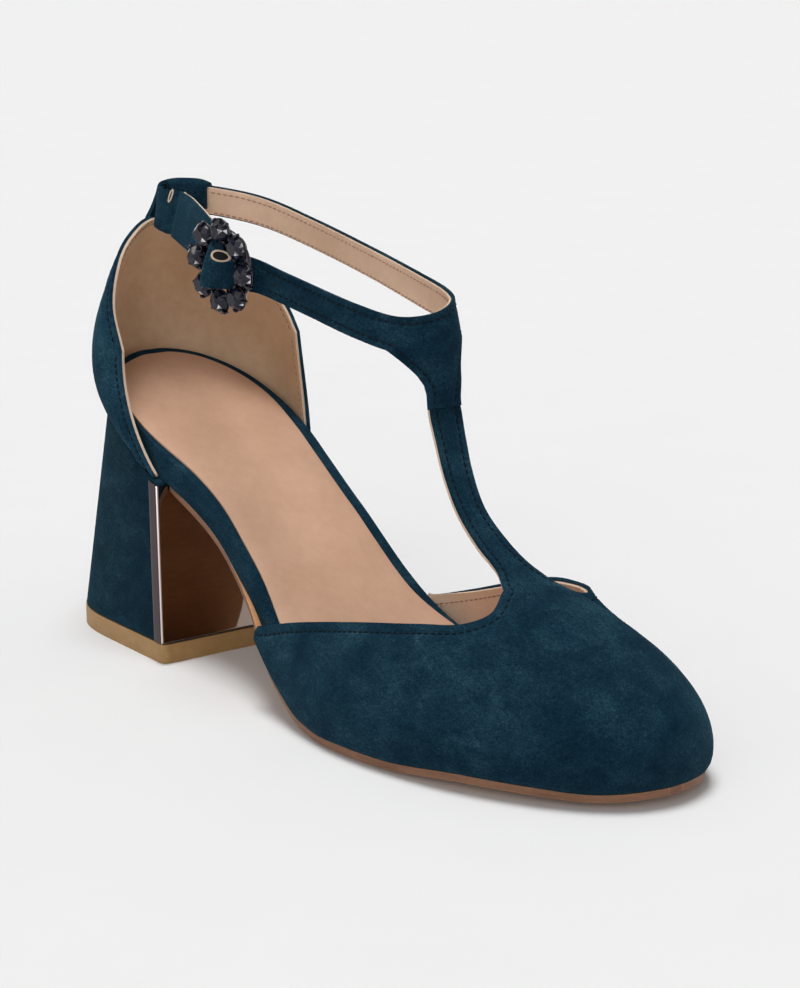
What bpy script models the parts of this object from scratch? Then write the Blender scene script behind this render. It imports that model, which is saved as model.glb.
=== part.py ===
"""Pump shoe, right foot: block heel, closed toe, open waist, T-strap with a ring buckle.

Lengths are in millimetres in the shoe's own frame and are scaled to metres when a mesh is made.
The frame starts at the back of the insole: forward is to the toe, sideways is to the wearer's
left (the inner side of this right shoe), up is off the floor.
"""
import math

import bmesh
import bpy
from mathutils import Vector

MM = 0.001
NAME = "pump_shoe"

# Driving sizes
FOOT = 243.0            # length of the insole
SOLE_T = 2.1            # outsole sheet
BOARD_T = 8.9           # suede-wrapped insole board
SOCK_T = 0.8            # leather sock on the insole
WALL = 2.0              # vamp and counter wall, leather and lining together
STRAP_T = 1.8           # strap, leather and lining together
LOOP_T = 1.3            # folded back loop
GAP = 0.3               # between neighbouring pieces
SOCK_INSET = (2.8, 4.3)     # sock edge inside the insole edge, outer and inner side
SOCK_TOE = 2.2          # the same under the vamp
SOLE_GROW = 0.8         # sole outside the insole outline, in the forefoot
SEAT_GROW = 1.8         # insole widened at the heel seat, under the counter lining
LIFT_T = 6.3            # rubber top lift
PANEL_T = 0.9           # breast panel
PANEL_WRAP = 3.6        # breast panel turned onto the heel side
BREAST_TOP = 51.0       # breast, forward position under the insole
BREAST_FOOT = 60.5      # breast, forward position at the lift
LIFT_BACK = -8.0        # back of the lift
LIFT_HALF = 34.5        # half width of the lift
LIFT_ROUND = 36.0       # length of the rounded back of the lift
LIFT_POWER = 2.9        # squareness of the rounded back
RING_R = 11.0           # buckle ring, to the middle of the wire
WIRE_R = 1.1            # buckle wire
STONES = 8
STONE_R = 4.0
STONE_H = 3.8
STONE_TURN = 142.0      # angle of the first stone

# Insole outline: share of the length (cosine spaced), outer edge, inner edge
PLAN = [
    # share, outer, inner
    (0.0, 0.0, 0.0),
    (0.1, -14.8, 16.0),
    (0.2, -23.3, 26.4),
    (0.3, -26.3, 28.6),
    (0.4, -26.0, 24.9),
    (0.5, -32.4, 29.6),
    (0.6, -36.2, 39.4),
    (0.7, -29.6, 43.2),
    (0.8, -16.6, 40.2),
    (0.9, -1.4, 31.2),
    (1.0, 15.0, 15.0),
]

# Underside of the sole: height along its middle, and its two edges measured from the middle
PROFILE = [
    # forward, height, outer edge, inner edge
    (-10.0, 81.5, 0.0, 0.0),
    (0.0, 77.2, 0.0, 0.0),
    (40.0, 59.6, 0.0, 0.0),
    (81.0, 41.2, 0.0, 0.0),
    (100.0, 28.4, 0.0, 0.0),
    (121.0, 13.0, -3.2, 0.0),
    (132.0, 7.2, -3.4, 0.0),
    (145.0, 2.3, -1.3, 0.0),
    (158.0, 0.0, 0.8, 0.4),
    (180.0, 0.0, 1.1, 1.1),
    (204.0, 0.0, 2.8, 2.4),
    (222.0, 0.6, 1.9, 1.9),
    (236.0, 1.6, 0.4, 0.4),
    (246.0, 3.2, 0.0, 0.0),
]
SOLE_FLAT = 0.34        # share of the sole's width that is flat
TREAD = (2.0, 242.0)    # ends of the outline that the turned edges follow

# Top edge of the vamp, round from the outer waist to the inner waist
TOPLINE = [
    # share, forward, sideways, height
    (0.00, 112.0, -32.4, 25.4),
    (0.10, 131.0, -30.3, 31.0),
    (0.20, 157.0, -26.8, 36.9),
    (0.28, 177.0, -21.6, 40.5),
    (0.34, 189.6, -14.8, 42.5),
    (0.38, 193.4, -8.8, 45.4),
    (0.42, 191.8, -3.3, 50.4),
    (0.50, 191.5, 5.5, 51.8),
    (0.58, 192.0, 14.3, 50.4),
    (0.60, 193.0, 18.0, 48.0),
    (0.62, 195.2, 21.6, 46.4),
    (0.64, 195.8, 24.2, 46.1),
    (0.66, 194.6, 26.4, 46.5),
    (0.72, 181.0, 30.6, 45.3),
    (0.82, 160.0, 33.6, 40.2),
    (0.91, 134.0, 34.0, 30.9),
    (1.00, 113.0, 32.2, 23.8),
]
VAMP_END = (112.0, 113.0)   # waist ends of the vamp, outer and inner side
STRAP_FROM = 0.42       # share of the topline where the T-strap starts
STRAP_TO = 0.58
VAMP_ROLL = (38.0, 70.0)    # turn of the vamp section, at the waist and at the toe
VAMP_BULGE = (1.2, 4.6, 2.5)    # fullness of the vamp section: waist, outer toe, inner toe
VAMP_HOLLOW = (3.0, 0.56, 0.66, 0.82)   # hollow under the inner topline: depth, start, middle, end

# T-strap on the vamp, from the throat up
RISE = [
    # forward, sideways, height, half width
    (191.5, 5.7, 51.6, 8.4),
    (185.0, 5.3, 55.2, 5.6),
    (177.0, 4.7, 60.0, 5.0),
    (168.0, 4.7, 67.0, 4.6),
    (161.2, 5.3, 76.0, 4.8),
    (156.3, 6.0, 86.0, 5.1),
    (153.0, 6.5, 94.0, 5.3),
    (150.8, 7.2, 101.0, 3.8),
]

# Collar of the counter, from the inner front edge round the back to the outer front edge
COLLAR = [
    # share, forward, sideways, height
    (0.00, 42.6, 31.2, 98.0),
    (0.10, 38.0, 30.2, 105.6),
    (0.20, 33.0, 27.0, 113.4),
    (0.30, 27.6, 21.6, 121.8),
    (0.38, 21.4, 15.0, 129.2),
    (0.50, 9.4, 4.0, 135.0),
    (0.62, 12.9, -9.5, 135.4),
    (0.70, 19.8, -19.4, 132.2),
    (0.80, 24.0, -27.0, 125.0),
    (0.90, 27.4, -31.6, 112.0),
    (1.00, 33.6, -32.2, 97.0),
]
COUNTER_END = (49.0, 47.2)  # forward ends of the counter on the insole edge, outer and inner side
COUNTER_BULGE = (0.8, 7.2)  # fullness at the front edges and round the back

# Ankle strap, outer face: buckle, outer arm, yoke, inner arm, back loop, buckle
STRAP = [
    # forward, sideways, height, half height, top edge leaning in
    (73.8, -21.4, 133.2, 6.3, 0.4),
    (85.4, -20.0, 130.7, 5.9, 0.3),
    (96.4, -18.4, 126.7, 4.9, 0.1),
    (114.0, -15.2, 122.6, 4.8, 0.0),
    (134.0, -12.6, 118.8, 4.9, 0.3),
    (146.0, -6.0, 115.8, 5.1, 0.9),
    (152.0, 3.4, 116.2, 5.6, 1.3),
    (150.6, 12.4, 118.4, 5.8, 1.3),
    (140.0, 18.2, 120.6, 5.2, 0.6),
    (120.0, 22.2, 123.0, 5.0, 0.0),
    (92.0, 25.4, 127.2, 4.8, 0.0),
    (62.0, 25.4, 132.6, 4.8, 0.0),
    (38.0, 21.6, 137.6, 4.9, 0.0),
    (22.0, 12.6, 140.4, 4.8, 0.0),
    (12.6, 4.6, 141.0, 4.8, 0.0),
    (13.2, -2.6, 140.6, 4.9, 0.2),
    (16.5, -7.0, 139.2, 6.2, 1.0),
    (30.6, -8.0, 138.2, 7.0, 2.0),
    (48.5, -13.3, 136.2, 6.7, 2.1),
    (62.0, -16.6, 134.0, 6.3, 1.4),
    (76.0, -16.8, 131.0, 6.0, 0.6),
]
YOKE_FROM = 4.75        # row of the strap table where the yoke starts
YOKE_TO = 7.35
LOOP_FROM = 13.15       # row of the strap table where the back loop starts
LOOP_TO = 15.05
LOOP_FLARE = 0.55       # rows by which the outer end of the loop widens to its foot
BAR_ROW = 1.0           # row of the strap table under the buckle bar
BAR_LIFT = 8.8          # strap lifted over the bar
BAR_SPREAD = 6.4
RING_OUT = 4.4          # ring plane outside the strap face
RING_TILT = -6.0        # ring leaning out at its top, in degrees
BAR_TURN = 104.0        # angle of the bar across the ring, upright on the sloping strap

# Yoke stem, from the strap down over the T-strap
STEM = [
    # forward, sideways, height, half width
    (152.4, 4.6, 111.0, 9.6),
    (153.2, 5.6, 104.4, 7.0),
    (154.6, 5.9, 99.2, 5.9),
    (155.9, 5.6, 94.6, 5.9),
]

LEATHER = (0.018, 0.066, 0.088)
TAN = (0.47, 0.31, 0.22)
BRONZE = (0.30, 0.19, 0.16)
OCHRE = (0.36, 0.22, 0.08)
TERRACOTTA = (0.30, 0.13, 0.07)
DARK = (0.03, 0.035, 0.05)

OUTER, INNER = 1, 2     # columns of the two sides in the insole table


def column(table, index):
    return [row[index] for row in table]


def slopes(xs, ys, limited):
    """Slopes for a smooth curve through the rows, limited where it must not overshoot."""
    steps = [(ys[i + 1] - ys[i]) / (xs[i + 1] - xs[i]) for i in range(len(xs) - 1)]
    out = [steps[0]]
    for i in range(1, len(xs) - 1):
        before = xs[i] - xs[i - 1]
        after = xs[i + 1] - xs[i]
        slope = (steps[i - 1] * after + steps[i] * before) / (before + after)
        if limited:
            if steps[i - 1] * steps[i] <= 0.0:
                slope = 0.0
            else:
                cap = 3.0 * min(abs(steps[i - 1]), abs(steps[i]))
                slope = max(-cap, min(cap, slope))
        out.append(slope)
    out.append(steps[-1])
    return out


def curve(xs, ys, x, limited=False):
    """Cubic curve through the rows of a table, held straight past its ends."""
    tangent = slopes(xs, ys, limited)
    i = 0
    while i < len(xs) - 2 and x > xs[i + 1]:
        i += 1
    span = xs[i + 1] - xs[i]
    t = max(0.0, min(1.0, (x - xs[i]) / span))
    a = (1 + 2 * t) * (1 - t) ** 2
    b = t * (1 - t) ** 2
    c = t * t * (3 - 2 * t)
    d = t * t * (t - 1)
    return a * ys[i] + b * span * tangent[i] + c * ys[i + 1] + d * span * tangent[i + 1]


def rows(table, place):
    """Values of a table whose rows are counted 0, 1, 2 ... at a place between rows."""
    count = [float(i) for i in range(len(table))]
    return [curve(count, column(table, k), place) for k in range(len(table[0]))]


def shares(table, share):
    """Values of a table whose first column is the share."""
    first = column(table, 0)
    return [curve(first, column(table, k), share) for k in range(1, len(table[0]))]


def mix(a, b, t):
    return a + (b - a) * t


def ease(t):
    t = max(0.0, min(1.0, t))
    return t * t * (3 - 2 * t)


def share_at(forward):
    return math.acos(1 - 2 * forward / FOOT) / math.pi


def underside(forward):
    """Height of the sole's underside along its middle."""
    return curve(column(PROFILE, 0), column(PROFILE, 1), forward, limited=True)


def rim(share, side):
    forward = FOOT / 2 * (1 - math.cos(math.pi * share))
    return Vector((forward, curve(column(PLAN, 0), column(PLAN, side), share)))


def outward(share, side):
    """Outward direction of the insole outline, in plan."""
    small = 0.004
    along = rim(min(1.0, share + small), side) - rim(max(0.0, share - small), side)
    across = Vector((along.y, -along.x)) if side == 1 else Vector((-along.y, along.x))
    if share < small or share > 1 - small:
        across.y *= 0.0
    return across.normalized()


def edge(share, side, grow):
    return rim(share, side) + outward(share, side) * grow


def tread(spot):
    """Height of the sole's underside at a place in plan: flat in its middle, turned to its edges."""
    share = share_at(max(TREAD[0], min(TREAD[1], spot.x)))
    outer = rim(share, OUTER).y
    inner = rim(share, INNER).y
    off = min(1.0, abs(2 * (spot.y - outer) / (inner - outer) - 1))
    side = OUTER if 2 * spot.y < outer + inner else INNER
    turn = max(0.0, (off - SOLE_FLAT) / (1 - SOLE_FLAT)) ** 2
    lift = curve(column(PROFILE, 0), column(PROFILE, 1 + side), spot.x, limited=True)
    return underside(spot.x) + turn * lift


def finish(name, mesh, colour, rough=0.7, metal=0.0):
    """Make the object, its material, and its place in the collection."""
    bmesh.ops.recalc_face_normals(mesh, faces=mesh.faces[:])
    data = bpy.data.meshes.new(name)
    mesh.to_mesh(data)
    mesh.free()
    item = bpy.data.objects.new(name, data)
    group.objects.link(item)
    paint = bpy.data.materials.new(name)
    paint.use_nodes = True
    shader = paint.node_tree.nodes["Principled BSDF"]
    shader.inputs["Base Color"].default_value = (*colour, 1.0)
    shader.inputs["Roughness"].default_value = rough
    shader.inputs["Metallic"].default_value = metal
    data.materials.append(paint)
    return item


def brick(name, place, cells, colour, rough=0.7, metal=0.0):
    """Box of cells across, along and through, each corner put where place says."""
    mesh = bmesh.new()
    spots = {}

    def at(*corner):
        if corner not in spots:
            share = [corner[k] / cells[k] for k in range(3)]
            spots[corner] = mesh.verts.new(Vector(place(*share)) * MM)
        return spots[corner]

    for axis in range(3):
        first, second = [k for k in range(3) if k != axis]
        for level in (0, cells[axis]):
            for i in range(cells[first]):
                for j in range(cells[second]):
                    loop = []
                    for step_i, step_j in ((0, 0), (1, 0), (1, 1), (0, 1)):
                        corner = [0, 0, 0]
                        corner[axis] = level
                        corner[first] = i + step_i
                        corner[second] = j + step_j
                        loop.append(at(*corner))
                    mesh.faces.new(loop)
    return finish(name, mesh, colour, rough, metal)


def sheet(name, place, cells, thick, colour, rough=0.9):
    """Sheet of cells (column, row) with its outer face where place says, made solid inward."""
    mesh = bmesh.new()
    spots = {}

    def at(i, j):
        if (i, j) not in spots:
            spots[(i, j)] = mesh.verts.new(Vector(place(i, j)) * MM)
        return spots[(i, j)]

    for i, j in cells:
        mesh.faces.new([at(i, j), at(i + 1, j), at(i + 1, j + 1), at(i, j + 1)])
    data = bpy.data.meshes.new(name + "_face")
    mesh.to_mesh(data)
    mesh.free()
    item = bpy.data.objects.new(name + "_face", data)
    group.objects.link(item)
    wall = item.modifiers.new("wall", "SOLIDIFY")
    wall.thickness = thick * MM
    wall.offset = -1.0
    wall.use_even_offset = True
    solid = bmesh.new()
    solid.from_object(item, bpy.context.evaluated_depsgraph_get())
    bpy.data.objects.remove(item)
    return finish(name, solid, colour, rough)


# Plates that follow the insole outline
def plate(start, end, grow, low, high):
    """Place function of a plate between two shares of the length."""
    def place(across, along, through):
        share = mix(start, end, along)
        outer = edge(share, OUTER, grow(share, OUTER))
        inner = edge(share, INNER, grow(share, INNER))
        spot = outer.lerp(inner, across)
        return spot.x, spot.y, tread(spot) + mix(low, high, through)
    return place


def vamp_share(forward):
    """How far a place along the shoe is under the vamp, 0 at the waist and 1 in the forefoot."""
    return ease((forward - 98.0) / 26.0)


def sole_grow(share, side):
    forward = rim(share, side).x
    return mix(0.0, SOLE_GROW, vamp_share(forward))


def seat_grow(share, side):
    forward = rim(share, side).x
    return SEAT_GROW * (1 - ease((forward - 35.0) / 30.0))


def board_grow(share, side):
    forward = rim(share, side).x
    return mix(seat_grow(share, side), -1.7, ease((forward - 86.0) / 24.0))


def sock_grow(share, side):
    forward = rim(share, side).x
    inset = mix(1.6, SOCK_INSET[side - 1], ease((forward - 20.0) / 40.0))
    inset = mix(inset, SOCK_TOE, ease((forward - 112.0) / 20.0))
    return board_grow(share, side) - seat_grow(share, side) - inset


# Heel
def lift_edge(along, grow):
    """Half outline of the lift at a share of its length, back to front."""
    forward = mix(LIFT_BACK - grow, BREAST_FOOT + grow, along)
    reach = min(1.0, (forward - LIFT_BACK + grow) / LIFT_ROUND)
    bow = (1 - (1 - reach) ** LIFT_POWER) ** (1 / LIFT_POWER)
    return forward, (LIFT_HALF + grow) * bow


def seat_spot(across, along):
    share = mix(0.02, share_at(BREAST_TOP), along)
    grow = GAP + WALL + 0.3 + seat_grow(share, OUTER)
    outer = edge(share, OUTER, grow)
    inner = edge(share, INNER, grow)
    return outer.lerp(inner, across)


def heel_place(across, along, up):
    top = seat_spot(across, along)
    depth = (top.x - seat_spot(0.5, 0).x) / (seat_spot(0.5, 1).x - seat_spot(0.5, 0).x)
    forward, half = lift_edge(mix(0.006, 1.0, depth), 0.0)
    high = underside(top.x) + SOLE_T - GAP
    side = mix(-half, half, across)
    return mix(forward, top.x, up), mix(side, top.y, up), mix(LIFT_T + GAP, high, up)


def lift_place(across, along, up):
    forward, half = lift_edge(mix(0.006, 1.0, along * along * (3 - 2 * along)), 0.2)
    return forward, mix(-half, half, across), LIFT_T * up


def panel_place(across, up, through):
    """Breast panel: turned edge, breast, turned edge, in three cells across."""
    rise = mix(0.012, 0.985, up)
    away = 0.2 + PANEL_T * through
    corner = round(across * 3)
    side = 0.0 if corner < 2 else 1.0
    spot = Vector(heel_place(side, 1.0, rise))
    behind = Vector(heel_place(side, 0.9, rise))
    out = -away if side == 0.0 else away
    if corner in (0, 3):
        spot = spot + (behind - spot).normalized() * PANEL_WRAP
        return spot.x, spot.y + out, spot.z
    return spot.x + away, spot.y + out, spot.z


# Vamp
VAMP_COLS = 44
VAMP_ROWS = 9
RISE_ROWS = 12


def vamp_foot(share):
    """Foot of the vamp wall on the sole, and its outward direction."""
    side = OUTER if share <= 0.5 else INNER
    end = share_at(VAMP_END[side - 1])
    along = mix(end, 1.0, 1 - abs(2 * share - 1))
    spot = edge(along, side, mix(2.2, 1.3, vamp_share(rim(along, side).x)))
    low = tread(spot) + SOLE_T + GAP
    return Vector((spot.x, spot.y, low)), outward(along, side)


def vamp_spot(share, up):
    """Outer face of the vamp, from the sole up to the topline."""
    foot, away = vamp_foot(share)
    top = Vector(shares(TOPLINE, share))
    toe = ease(1 - abs(2 * share - 1))
    turn = math.radians(mix(VAMP_ROLL[0], VAMP_ROLL[1], toe))
    inward = (1 - math.cos(turn * up)) / (1 - math.cos(turn))
    rise = math.sin(turn * up) / math.sin(turn)
    waist, outer, inner = VAMP_BULGE
    full = mix(waist, mix(outer, inner, ease((share - 0.4) / 0.3)), toe) * math.sin(math.pi * up ** 0.62)
    spot = Vector((mix(foot.x, top.x, inward), mix(foot.y, top.y, inward), mix(foot.z, top.z, rise)))
    deep, start, middle, end = VAMP_HOLLOW
    near = ease((share - start) / (middle - start)) * (1 - ease((share - middle) / (end - middle)))
    hollow = deep * near * math.sin(math.pi * up ** 3)
    return spot + Vector((away.x, away.y, 0.15)) * full - Vector((away.x, away.y, 0.5)) * hollow


def rise_spot(across, up):
    """Outer face of the T-strap, from the throat up."""
    forward, sideways, height, half = rows(RISE, up * (len(RISE) - 1))
    return Vector((forward, sideways + mix(-half, half, across), height))


def vamp_place(i, j):
    share = i / VAMP_COLS
    if j <= VAMP_ROWS:
        return vamp_spot(share, j / VAMP_ROWS)
    up = (j - VAMP_ROWS) / RISE_ROWS
    across = (share - STRAP_FROM) / (STRAP_TO - STRAP_FROM)
    fade = max(0.0, 1 - up / 0.3) ** 2
    drop = Vector(shares(TOPLINE, share)) - rise_spot(across, 0.0)
    return rise_spot(across, up) + drop * fade


def vamp_cells():
    first = round(STRAP_FROM * VAMP_COLS)
    last = round(STRAP_TO * VAMP_COLS)
    for i in range(VAMP_COLS):
        for j in range(VAMP_ROWS):
            yield i, j
    for i in range(first, last):
        for j in range(VAMP_ROWS, VAMP_ROWS + RISE_ROWS):
            yield i, j


# Counter
COUNTER_COLS = 36
COUNTER_ROWS = 12


def counter_place(i, j):
    """Outer face of the counter, from the heel up to the collar."""
    share = i / COUNTER_COLS
    up = j / COUNTER_ROWS
    side = INNER if share <= 0.5 else OUTER
    along = mix(share_at(COUNTER_END[side - 1]), 0.0, 1 - abs(2 * share - 1))
    spot = edge(along, side, GAP + WALL + 0.2 + seat_grow(along, side))
    away = outward(along, side)
    top = Vector(shares(COLLAR, share))
    back = ease(1 - abs(2 * share - 1))
    bow = 2.0 if side == OUTER else 1.2
    lean = mix(1 - (1 - up) ** bow, up ** 1.8, back)
    near = ease(2.2 * (1 - abs(2 * share - 1)))
    full = mix(COUNTER_BULGE[0], COUNTER_BULGE[1], near) * math.sin(math.pi * up ** 0.75)
    low = underside(spot.x) + SOLE_T
    return (mix(spot.x, top.x, lean) + away.x * full, mix(spot.y, top.y, lean) + away.y * full,
            mix(low, top.z, up))


# Ankle strap
STRAP_COLS = 98
STRAP_ROWS = 4
STEM_ROWS = 7


def strap_way(place):
    """Middle of the strap's outer face, from there to its top edge, and the directions along and out."""
    forward, sideways, height, half, lean = rows(STRAP, place)
    ahead = Vector(rows(STRAP, min(place + 0.05, len(STRAP) - 1.0))[:3])
    behind = Vector(rows(STRAP, max(place - 0.05, 0.0))[:3])
    along = (ahead - behind).normalized()
    out = along.cross(Vector((0, 0, 1))).normalized()
    return Vector((forward, sideways, height)), Vector((0, 0, half)) - out * lean, along, out


def buckle_axes():
    """Middle of the ring, and the directions along the strap, up and out."""
    spot, reach, along, out = strap_way(BAR_ROW)
    up = Vector((0, 0, 1)) - out * math.tan(math.radians(RING_TILT))
    up = (up - along * up.dot(along)).normalized()
    out = along.cross(up)
    return spot + out * RING_OUT, along, up, out


def strap_spot(place, up):
    spot, reach, along, out = strap_way(place)
    middle = strap_way(BAR_ROW)[0]
    lift = BAR_LIFT * math.exp(-((spot - middle).length / BAR_SPREAD) ** 2) if place < 4 else 0.0
    return spot + out * lift + reach * mix(-1.0, 1.0, up)


def stem_spot(across, down):
    forward, sideways, height, half = rows(STEM, down * (len(STEM) - 1))
    bow = 2.2 * (1 - (2 * across - 1) ** 2) * (1 - down)
    return Vector((forward + bow - 1.5 * (1 - down), sideways + mix(-half, half, across), height))


def strap_place(i, j):
    place = i / STRAP_COLS * (len(STRAP) - 1)
    if j >= 0:
        return strap_spot(place, j / STRAP_ROWS)
    down = -j / STEM_ROWS
    first, last = yoke_columns()
    across = (i - first) / (last - first)
    fade = max(0.0, 1 - down / 0.75) ** 2
    return stem_spot(across, down) + (strap_spot(place, 0.0) - stem_spot(across, 0.0)) * fade


def yoke_columns():
    per_row = STRAP_COLS / (len(STRAP) - 1)
    return round(YOKE_FROM * per_row), round(YOKE_TO * per_row)


def strap_cells():
    for i in range(STRAP_COLS):
        for j in range(STRAP_ROWS):
            yield i, j
    first, last = yoke_columns()
    for i in range(first, last):
        for j in range(-STEM_ROWS, 0):
            yield i, j


# Back loop
LOOP_SECTION = [
    # outward from the strap face, height from the strap's middle
    (3.1, -3.6),
    (2.5, -0.8),
    (1.8, 2.8),
    (1.3, 5.8),
    (-1.1, 6.8),
    (-3.1, 5.9),
    (-3.8, 3.6),
    (-3.9, -2.0),
    (-3.9, -5.4),
]


def loop_place(round_it, along, through):
    """Folded band: up outside the strap, over it, down inside."""
    flare = LOOP_FLARE * max(0.0, 1 - round_it / 0.4)
    spot, reach, ahead, out = strap_way(mix(LOOP_FROM, LOOP_TO + flare, along))
    way = round_it * (len(LOOP_SECTION) - 1)
    off, high = rows(LOOP_SECTION, way)
    next_off, next_high = rows(LOOP_SECTION, min(way + 0.1, len(LOOP_SECTION) - 1.0))
    last_off, last_high = rows(LOOP_SECTION, max(way - 0.1, 0.0))
    turn = Vector((next_high - last_high, last_off - next_off)).normalized()
    off -= turn.x * LOOP_T * through
    high -= turn.y * LOOP_T * through
    side = spot + out * off
    return side.x, side.y, spot.z + high


# Buckle
def ring_spot(angle, reach, out_by):
    middle, along, up, out = buckle_axes()
    turn = math.radians(angle)
    return middle + (along * math.cos(turn) + up * math.sin(turn)) * reach + out * out_by


def rod(name, path, radius, closed):
    """Round wire along a path of points."""
    line = bpy.data.curves.new(name, "CURVE")
    line.dimensions = "3D"
    line.bevel_depth = radius * MM
    line.bevel_resolution = 1
    line.use_fill_caps = True
    spline = line.splines.new("POLY")
    spline.points.add(len(path) - 1)
    for point, spot in zip(spline.points, path):
        point.co = (*(spot * MM), 1.0)
    spline.use_cyclic_u = closed
    item = bpy.data.objects.new(name, line)
    group.objects.link(item)
    mesh = bmesh.new()
    mesh.from_mesh(item.to_mesh())
    bpy.data.objects.remove(item)
    bmesh.ops.remove_doubles(mesh, verts=mesh.verts[:], dist=0.00001)
    return finish(name, mesh, DARK, 0.3, 1.0)


def buckle():
    """Ring with its centre bar, joined into one body."""
    ring = rod("buckle_frame", [ring_spot(a * 15.0, RING_R, 0.0) for a in range(24)], WIRE_R, True)
    ends = [ring_spot(a, RING_R, 0.0) for a in (BAR_TURN, BAR_TURN + 180.0)]
    bar = rod("buckle_bar", ends, WIRE_R * 0.8, False)
    join = ring.modifiers.new("bar", "BOOLEAN")
    join.operation = "UNION"
    join.solver = "EXACT"
    join.object = bar
    solid = bmesh.new()
    solid.from_object(ring, bpy.context.evaluated_depsgraph_get())
    for item in (bar, ring):
        bpy.data.objects.remove(item)
    finish("buckle_frame", solid, DARK, 0.3, 1.0)


STONE_SECTION = [
    # height share, radius share
    (0.0, 0.62),
    (0.35, 1.0),
    (0.62, 1.0),
    (1.0, 0.56),
]


def stone(number):
    """Faceted stone in its cup, seated on the ring."""
    angle = STONE_TURN - number * 360.0 / STONES
    middle, along, up, out = buckle_axes()
    spot = ring_spot(angle, RING_R, WIRE_R + 0.15)
    sides = 10
    mesh = bmesh.new()
    rings = []
    for high, wide in STONE_SECTION:
        ring = []
        for k in range(sides):
            turn = 2 * math.pi * k / sides + math.radians(angle)
            arm = along * math.cos(turn) + up * math.sin(turn)
            ring.append(mesh.verts.new((spot + arm * STONE_R * wide + out * STONE_H * high) * MM))
        rings.append(ring)
    mesh.faces.new(rings[0])
    mesh.faces.new(rings[-1])
    for low, high in zip(rings, rings[1:]):
        for k in range(sides):
            mesh.faces.new([low[k], low[(k + 1) % sides], high[(k + 1) % sides], high[k]])
    finish("stone_%d" % (number + 1), mesh, DARK, 0.1)


def settle():
    """Put the middle of the whole shoe over the origin."""
    low = Vector((1e9, 1e9, 1e9))
    high = -low
    for item in group.objects:
        for vert in item.data.vertices:
            low = Vector(map(min, low, vert.co))
            high = Vector(map(max, high, vert.co))
    shift = Vector((-(low.x + high.x) / 2, -(low.y + high.y) / 2, 0.0))
    for item in group.objects:
        for vert in item.data.vertices:
            vert.co += shift


for old in list(bpy.data.objects):
    bpy.data.objects.remove(old)
group = bpy.data.collections.new(NAME)
bpy.context.scene.collection.children.link(group)

breast = share_at(BREAST_TOP + 2.0)
brick("outsole", plate(breast, 0.985, sole_grow, 0.0, SOLE_T), (4, 60, 1), TERRACOTTA, 0.6)
brick("insole", plate(0.02, 0.985, board_grow, SOLE_T + GAP, SOLE_T + BOARD_T), (4, 72, 1), LEATHER, 0.9)
deck = SOLE_T + BOARD_T + GAP
brick("sock", plate(0.03, 0.975, sock_grow, deck, deck + SOCK_T), (4, 72, 1), TAN, 0.6)
brick("heel", heel_place, (4, 26, 1), LEATHER, 0.9)
brick("breast_panel", panel_place, (3, 1, 1), BRONZE, 0.1, 1.0)
brick("top_lift", lift_place, (4, 26, 1), OCHRE, 0.6)
sheet("vamp", vamp_place, list(vamp_cells()), WALL, LEATHER)
cells = [(i, j) for i in range(COUNTER_COLS) for j in range(COUNTER_ROWS)]
sheet("counter", counter_place, cells, WALL, LEATHER)
sheet("ankle_strap", strap_place, list(strap_cells()), STRAP_T, LEATHER)
brick("back_loop", loop_place, (16, 10, 1), LEATHER, 0.9)
buckle()
for number in range(STONES):
    stone(number)
settle()
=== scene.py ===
"""Looks of the pump shoe: suede, linings, stitching, leather sock, mirror breast and crystal buckle.

Lengths are in millimetres in the shoe's own frame, which is the frame of the part's source: forward
from the back of the insole, sideways to the wearer's left, up off the floor. They become metres in
the row's frame when a mesh is made.
"""
import bisect
import math
from itertools import product

import bmesh
import bpy
from mathutils import Matrix, Vector
from mathutils.kdtree import KDTree


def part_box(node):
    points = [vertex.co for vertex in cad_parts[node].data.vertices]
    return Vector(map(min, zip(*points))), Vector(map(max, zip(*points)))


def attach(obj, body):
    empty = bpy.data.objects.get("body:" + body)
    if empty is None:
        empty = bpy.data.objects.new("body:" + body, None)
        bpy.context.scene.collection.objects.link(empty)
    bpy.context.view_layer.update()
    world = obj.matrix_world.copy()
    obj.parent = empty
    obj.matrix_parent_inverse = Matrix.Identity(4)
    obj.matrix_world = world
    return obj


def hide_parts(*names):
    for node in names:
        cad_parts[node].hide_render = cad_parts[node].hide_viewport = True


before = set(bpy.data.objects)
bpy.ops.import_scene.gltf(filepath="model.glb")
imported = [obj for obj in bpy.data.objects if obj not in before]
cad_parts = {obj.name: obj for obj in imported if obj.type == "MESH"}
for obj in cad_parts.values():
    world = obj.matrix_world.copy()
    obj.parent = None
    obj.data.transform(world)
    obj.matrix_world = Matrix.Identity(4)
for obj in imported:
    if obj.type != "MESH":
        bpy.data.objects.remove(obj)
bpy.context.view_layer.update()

MM = 0.001
UP = Vector((0, 0, 1))
OUTER, INNER = 1, 2

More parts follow.
